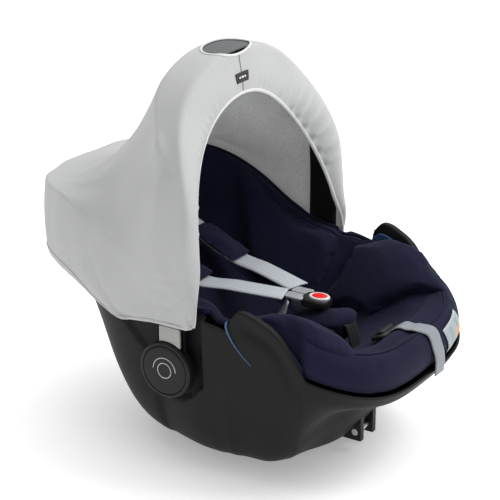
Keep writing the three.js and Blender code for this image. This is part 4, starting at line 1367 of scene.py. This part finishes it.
class CARSEAT_OT_handle(bpy.types.Operator):
    """Carry handle, grip, hubs with their caps, and release buttons"""
    bl_idname = "car_seat.handle"
    bl_label = "Handle"

    def execute(self, context):
        tint = colours()
        plastic = plastic_material("handle_plastic", tuple(tint.shell), 0.52, shine=0.14)
        dark = plastic_material("hub_plastic", tuple(tint.hub), 0.42, shine=0.25)
        finish_mesh("carry_handle", handle_mesh(), "handle", ["handle_arch"], material=plastic)

        def grip(u, v):
            s = mix(0.5 - 0.075, 0.5 + 0.075, v)
            a = 2 * pi * u
            ends = clamp(min(v, 1 - v) * 14) ** 0.5
            depth, across = power(cos(a), 0.6), power(sin(a), 0.5)
            x, z = arch_point(s, 2.0 - 3.0 * depth * ends)
            low, high = arch_front(arch_point(s)[1]) - 1.0, arch_rear(arch_point(s)[1]) + 1.0
            ribs = 0.35 * sin(v * 90) * ends
            return Vector((x, (low + high) / 2 + (high - low) / 2 * across * mix(0.9, 1, ends),
                           z + (ribs if depth < 0 else 0)))

        bm = close_ends(mapped_grid(48, 72, grip, around=True))
        finish_mesh("grip_sleeve", bm, "handle", ["handle_grip"], material=plastic_material(
            "grip_rubber", tuple(tint.grip), 0.75, 800.0, 0.0002))

        inner = ARCH_HALF_WIDTH - LEG_THICK
        hub = [(inner, 24), (inner, 39.5), (inner + 1.5, 41), (HUB_FACE - 3.0, 41), (HUB_FACE - 1.4, 40.6),
               (HUB_FACE - 0.4, 39.6), (HUB_FACE, 38.3), (HUB_FACE, 36.4), (HUB_FACE - 0.5, 35.8),
               (HUB_FACE - 2.2, 35.7), (HUB_FACE - 2.2, 24), (inner, 24)]
        cap = [(HUB_FACE - 2.0, 0), (HUB_FACE - 2.0, 35.1), (HUB_FACE - 0.5, 35.1), (HUB_FACE + 0.1, 34.5),
               (HUB_FACE + 0.4, 33.4), (HUB_FACE + 0.7, 28), (HUB_FACE + 0.9, 14), (HUB_FACE + 0.9, 0)]
        mark = plastic_material("mark_print", (0.42, 0.43, 0.43), 0.5, dust=0.1)
        for word, side in SIDES:
            finish_mesh(f"hub_drum_{word}", spun(hub, side), "handle", [f"handle_hub_{word}"], material=dark)
            finish_mesh(f"hub_disc_{word}", spun(cap, side), "handle", [f"hub_cap_{word}"], material=dark)

            def ring(t, side=side):
                a = 2 * pi * t
                return Vector((side * (HUB_FACE + 0.9), PIVOT_Y + 11 * cos(a), PIVOT_Z + 11 * sin(a)))

            def arm(t, side=side):
                a = mix(0.25, 0.75, t) * 2 * pi - pi / 2
                return Vector((side * (HUB_FACE + 0.8), PIVOT_Y + 18.5 * cos(a), PIVOT_Z + 18.5 * sin(a)))

            for name, path, closed in (("mark_ring", ring, True), ("mark_arc", arm, False)):
                bm = band_round(path, 1.5, 0.7, 64, closed=closed, up=lambda t, side=side: Vector((side, 0, 0)))
                finish_mesh(f"{name}_{word}", bm, "handle", material=mark)

            button = f"release_button_{word}"
            finish_mesh(f"release_plate_{word}", plate_mesh(side), button, [button],
                        material=plastic_material("button_plastic", tuple(tint.button), 0.5, dust=0.1))
        return {"FINISHED"}


class CARSEAT_OT_harness(bpy.types.Operator):
    """Shoulder and lap straps with their pads and tongues"""
    bl_idname = "car_seat.harness"
    bl_label = "Harness"

    def execute(self, context):
        tint = colours()
        web = webbing_material("harness_webbing", tuple(tint.webbing), 55.0)
        cloth = knit()
        steel = plastic_material("tongue_plating", (0.50, 0.52, 0.54), 0.3, 900.0, 0.00005, 0.12, 0.1, 0.35)
        for word, side in SIDES:
            path = [(side * 42, 128, 262), (side * 52, 62, 222), (side * 38, 0, 218), (side * 17.5, -71, 213)]
            lay_strap(f"shoulder_webbing_{word}", f"shoulder_strap_{word}", path, lambda t: (1, 0, 0),
                      38, 60, 1.6, web, crown=-1.2)
            path = [(side * 19, -76, 206), (side * 27, -69, 182), (side * 54, -60, 156), (side * 101, -50, 158)]
            lay_strap(f"lap_webbing_{word}", f"lap_strap_{word}", path,
                      lambda t, side=side: (-0.84 * side * (1 - t), mix(0.54, 1, t), 0.1 * t),
                      26, 30, 1.5, web)

            line = Spline([(side * 44, 120, 267), (side * 50, 75, 242), (side * 49, 38, 228)])

            def pad(u, v, height, line=line):
                along = line.tangent(v)
                up = Vector((1, 0, 0)).cross(along)
                up = up if up.z > 0 else -up
                return line.at(v) + Vector((u - 0.5, 0, 0)) * 56 + up * (height - 4)

            soft_pad(f"shoulder_pad_soft_{word}", pad_solid(pad, 8.0, 24, 32), f"shoulder_pad_{word}",
                     cloth, cap=600, cell=900)

            bm = rounded_block((19, 30, 3.2), 4, 0.9, (side * 10.8, -83, 211.0))
            finish_mesh(f"tongue_plate_{word}", bm, "seat", [f"tongue_{word}"], material=steel)
        return {"FINISHED"}


class CARSEAT_OT_buckle(bpy.types.Operator):
    """Buckle with its red button, the crotch pad and the crotch strap"""
    bl_idname = "car_seat.buckle"
    bl_label = "Buckle"

    def execute(self, context):
        tint = colours()
        black = plastic_material("buckle_plastic", tuple(tint.buckle), 0.34, dust=0.1)
        centre = Vector((0, -117, 0))
        housing = rounded_block((35, 43, 14), 14, 4.6, (0, -112, 206))
        sink_well(housing, centre + Vector((0, 0, 213)), (9.1, 11.4), 7.5)
        finish_mesh("buckle_case", housing, "seat", ["buckle_housing"], material=black)

        def turned(outline):
            bm = bmesh.new()
            verts = [bm.verts.new(place((r, centre.y, z))) for r, z in outline]
            edges = [bm.edges.new(pair) for pair in zip(verts, verts[1:])]
            bmesh.ops.spin(bm, geom=verts + edges, cent=place(centre), axis=(0, 0, 1), angle=2 * pi, steps=64,
                           use_merge=True)
            bmesh.ops.remove_doubles(bm, verts=bm.verts, dist=2e-5)
            oval = Matrix.Translation(place(centre)) @ Matrix.Diagonal((0.92, 1.18, 1, 1)) @ Matrix.Translation(
                -place(centre))
            bmesh.ops.transform(bm, matrix=oval, verts=bm.verts)
            bmesh.ops.recalc_face_normals(bm, faces=bm.faces)
            return bm

        ring = [(9.9, 211), (9.9, 214.8), (10.5, 215.6), (12.5, 215.3), (13.4, 214.2), (13.6, 211.6), (9.9, 211)]
        finish_mesh("buckle_collar", turned(ring), "seat", ["buckle_ring"], material=plastic_material(
            "collar_plastic", tuple(tint.ring), 0.35, dust=0.05))
        button = [(0, 210), (9.4, 210), (9.4, 214.8), (9.0, 215.7), (8.0, 216.2), (0, 216.9)]
        finish_mesh("release_dome", turned(button), "buckle_button", ["buckle_button"],
                    material=plastic_material("button_red", tuple(tint.press), 0.4, dust=0.05, shine=0.15))

        line = Spline([(0, -78, 186), (0, -110, 190), (0, -138, 194), (0, -157, 200), (0, -170, 193), (0, -168, 172),
                       (0, -158, 150)])

        def pad(u, v, height):
            along = line.tangent(v)
            up = -Vector((1, 0, 0)).cross(along)
            width = 66 * mix(1.0, 0.8, smooth(0.6, 1, v))
            sag = 6 * (2 * u - 1) ** 2
            return line.at(v) + Vector(((u - 0.5) * width, 0, 0)) + up * (height - 5 - sag)

        soft_pad("crotch_pad_soft", pad_solid(pad, 11.0, 30, 40), "crotch_pad", knit(), cap=700)

        web = webbing_material("crotch_webbing", (0.012, 0.012, 0.013), 60.0)
        path = [(-5, -181, 140), (-5, -179, 159), (-5, -174, 178), (-5, -168, 188), (-4, -150, 186)]
        lay_strap("crotch_webbing", "crotch_strap", path, lambda t: (1, 0, 0), 28, 40, 1.8, web)
        return {"FINISHED"}


class CARSEAT_OT_adjuster(bpy.types.Operator):
    """Harness adjuster, its pull strap and the small patch on the front"""
    bl_idname = "car_seat.adjuster"
    bl_label = "Adjuster"

    def execute(self, context):
        tint = colours()
        black = plastic_material("buckle_plastic", tuple(tint.buckle), 0.34, dust=0.1)
        finish_mesh("adjuster_frame", rounded_block((54, 27, 6), 9, 2, (0, -225.2, 184.4), -0.46), "seat",
                    ["adjuster_housing"], material=black)
        finish_mesh("adjuster_key", rounded_block((33, 12, 6.4), 4, 1.2, (0, -223.7, 187.4), -0.46),
                    "adjuster_button", ["adjuster_button"], material=plastic_material(
                        "key_plastic", (0.02, 0.02, 0.021), 0.45))
        front = -pi / 2
        points = []
        for t in (0.74, 0.78, 0.82, 0.86, 0.9, 0.94):
            p = seat_point(front, t)
            points.append(p + seat_normal(front, t) * (cover_bulge(p, t) + 3.4))
        points += [Vector((0, -FRONT - out, z)) for out, z in ((4.6, 160), (5.4, 147), (4.4, 134))]
        points = [p + Vector((mix(8, 17, smooth(-262, -285, p.y)), 0, 0)) for p in points]
        lay_strap("pull_strap", "adjuster_strap", points, lambda t: (1, 0, 0), 26, 60, 1.6,
                  webbing_material("pull_webbing", tuple(tint.pull), 70.0, 0.82))

        def patch(u, v):
            return on_cover(mix(-1.49, -1.23, v) + 0.05 * u, mix(0.915, 0.996, u) - 0.012 * v, 1.9)

        pale, print_grey = (0.33, 0.37, 0.39), (0.16, 0.21, 0.23)
        piece = finish_mesh("front_patch", mapped_grid(10, 14, patch), "seat", ["label_patch"],
                            material=patch_material("patch_cloth", (0.44, 0.48, 0.50), [
                                (pale, 0.06, 0.94, 0.04, 0.96), ((0.80, 0.24, 0.015), 0.5, 0.94, 0.55, 0.96),
                                (print_grey, 0.14, 0.42, 0.62, 0.66), (print_grey, 0.14, 0.42, 0.72, 0.76),
                                (print_grey, 0.14, 0.84, 0.20, 0.23), (print_grey, 0.14, 0.84, 0.30, 0.33)]))
        solidify(piece, 0.7, 0.0)
        return {"FINISHED"}


class CARSEAT_PT_pieces(bpy.types.Panel):
    """Lists the seat's pieces and their settings"""
    bl_label = "Car Seat"
    bl_idname = "CARSEAT_PT_pieces"
    bl_space_type = "VIEW_3D"
    bl_region_type = "UI"
    bl_category = "Car Seat"

    def draw(self, context):
        for operator in PIECES:
            self.layout.operator(operator.bl_idname)
        for settings in (context.scene.car_seat_colours, context.scene.car_seat_sizes,
                         context.scene.car_seat_stage):
            box = self.layout.box()
            for name in settings.__annotations__:
                box.prop(settings, name)


PIECES = (CARSEAT_OT_stage, CARSEAT_OT_shell, CARSEAT_OT_base_fittings, CARSEAT_OT_cover, CARSEAT_OT_bolsters,
          CARSEAT_OT_inlay, CARSEAT_OT_handle, CARSEAT_OT_hood, CARSEAT_OT_harness, CARSEAT_OT_buckle,
          CARSEAT_OT_adjuster)
CLASSES = (CarSeatColours, CarSeatSizes, CarSeatStage, *PIECES, CARSEAT_PT_pieces)


def register():
    for item in CLASSES:
        bpy.utils.register_class(item)
    bpy.types.Scene.car_seat_colours = PointerProperty(type=CarSeatColours)
    bpy.types.Scene.car_seat_sizes = PointerProperty(type=CarSeatSizes)
    bpy.types.Scene.car_seat_stage = PointerProperty(type=CarSeatStage)


def unregister():
    for name in ("car_seat_colours", "car_seat_sizes", "car_seat_stage"):
        delattr(bpy.types.Scene, name)
    for item in reversed(CLASSES):
        bpy.utils.unregister_class(item)


def main():
    register()
    for operator in PIECES:
        group, name = operator.bl_idname.split(".")
        getattr(getattr(bpy.ops, group), name)()


if __name__ == "__main__":
    main()
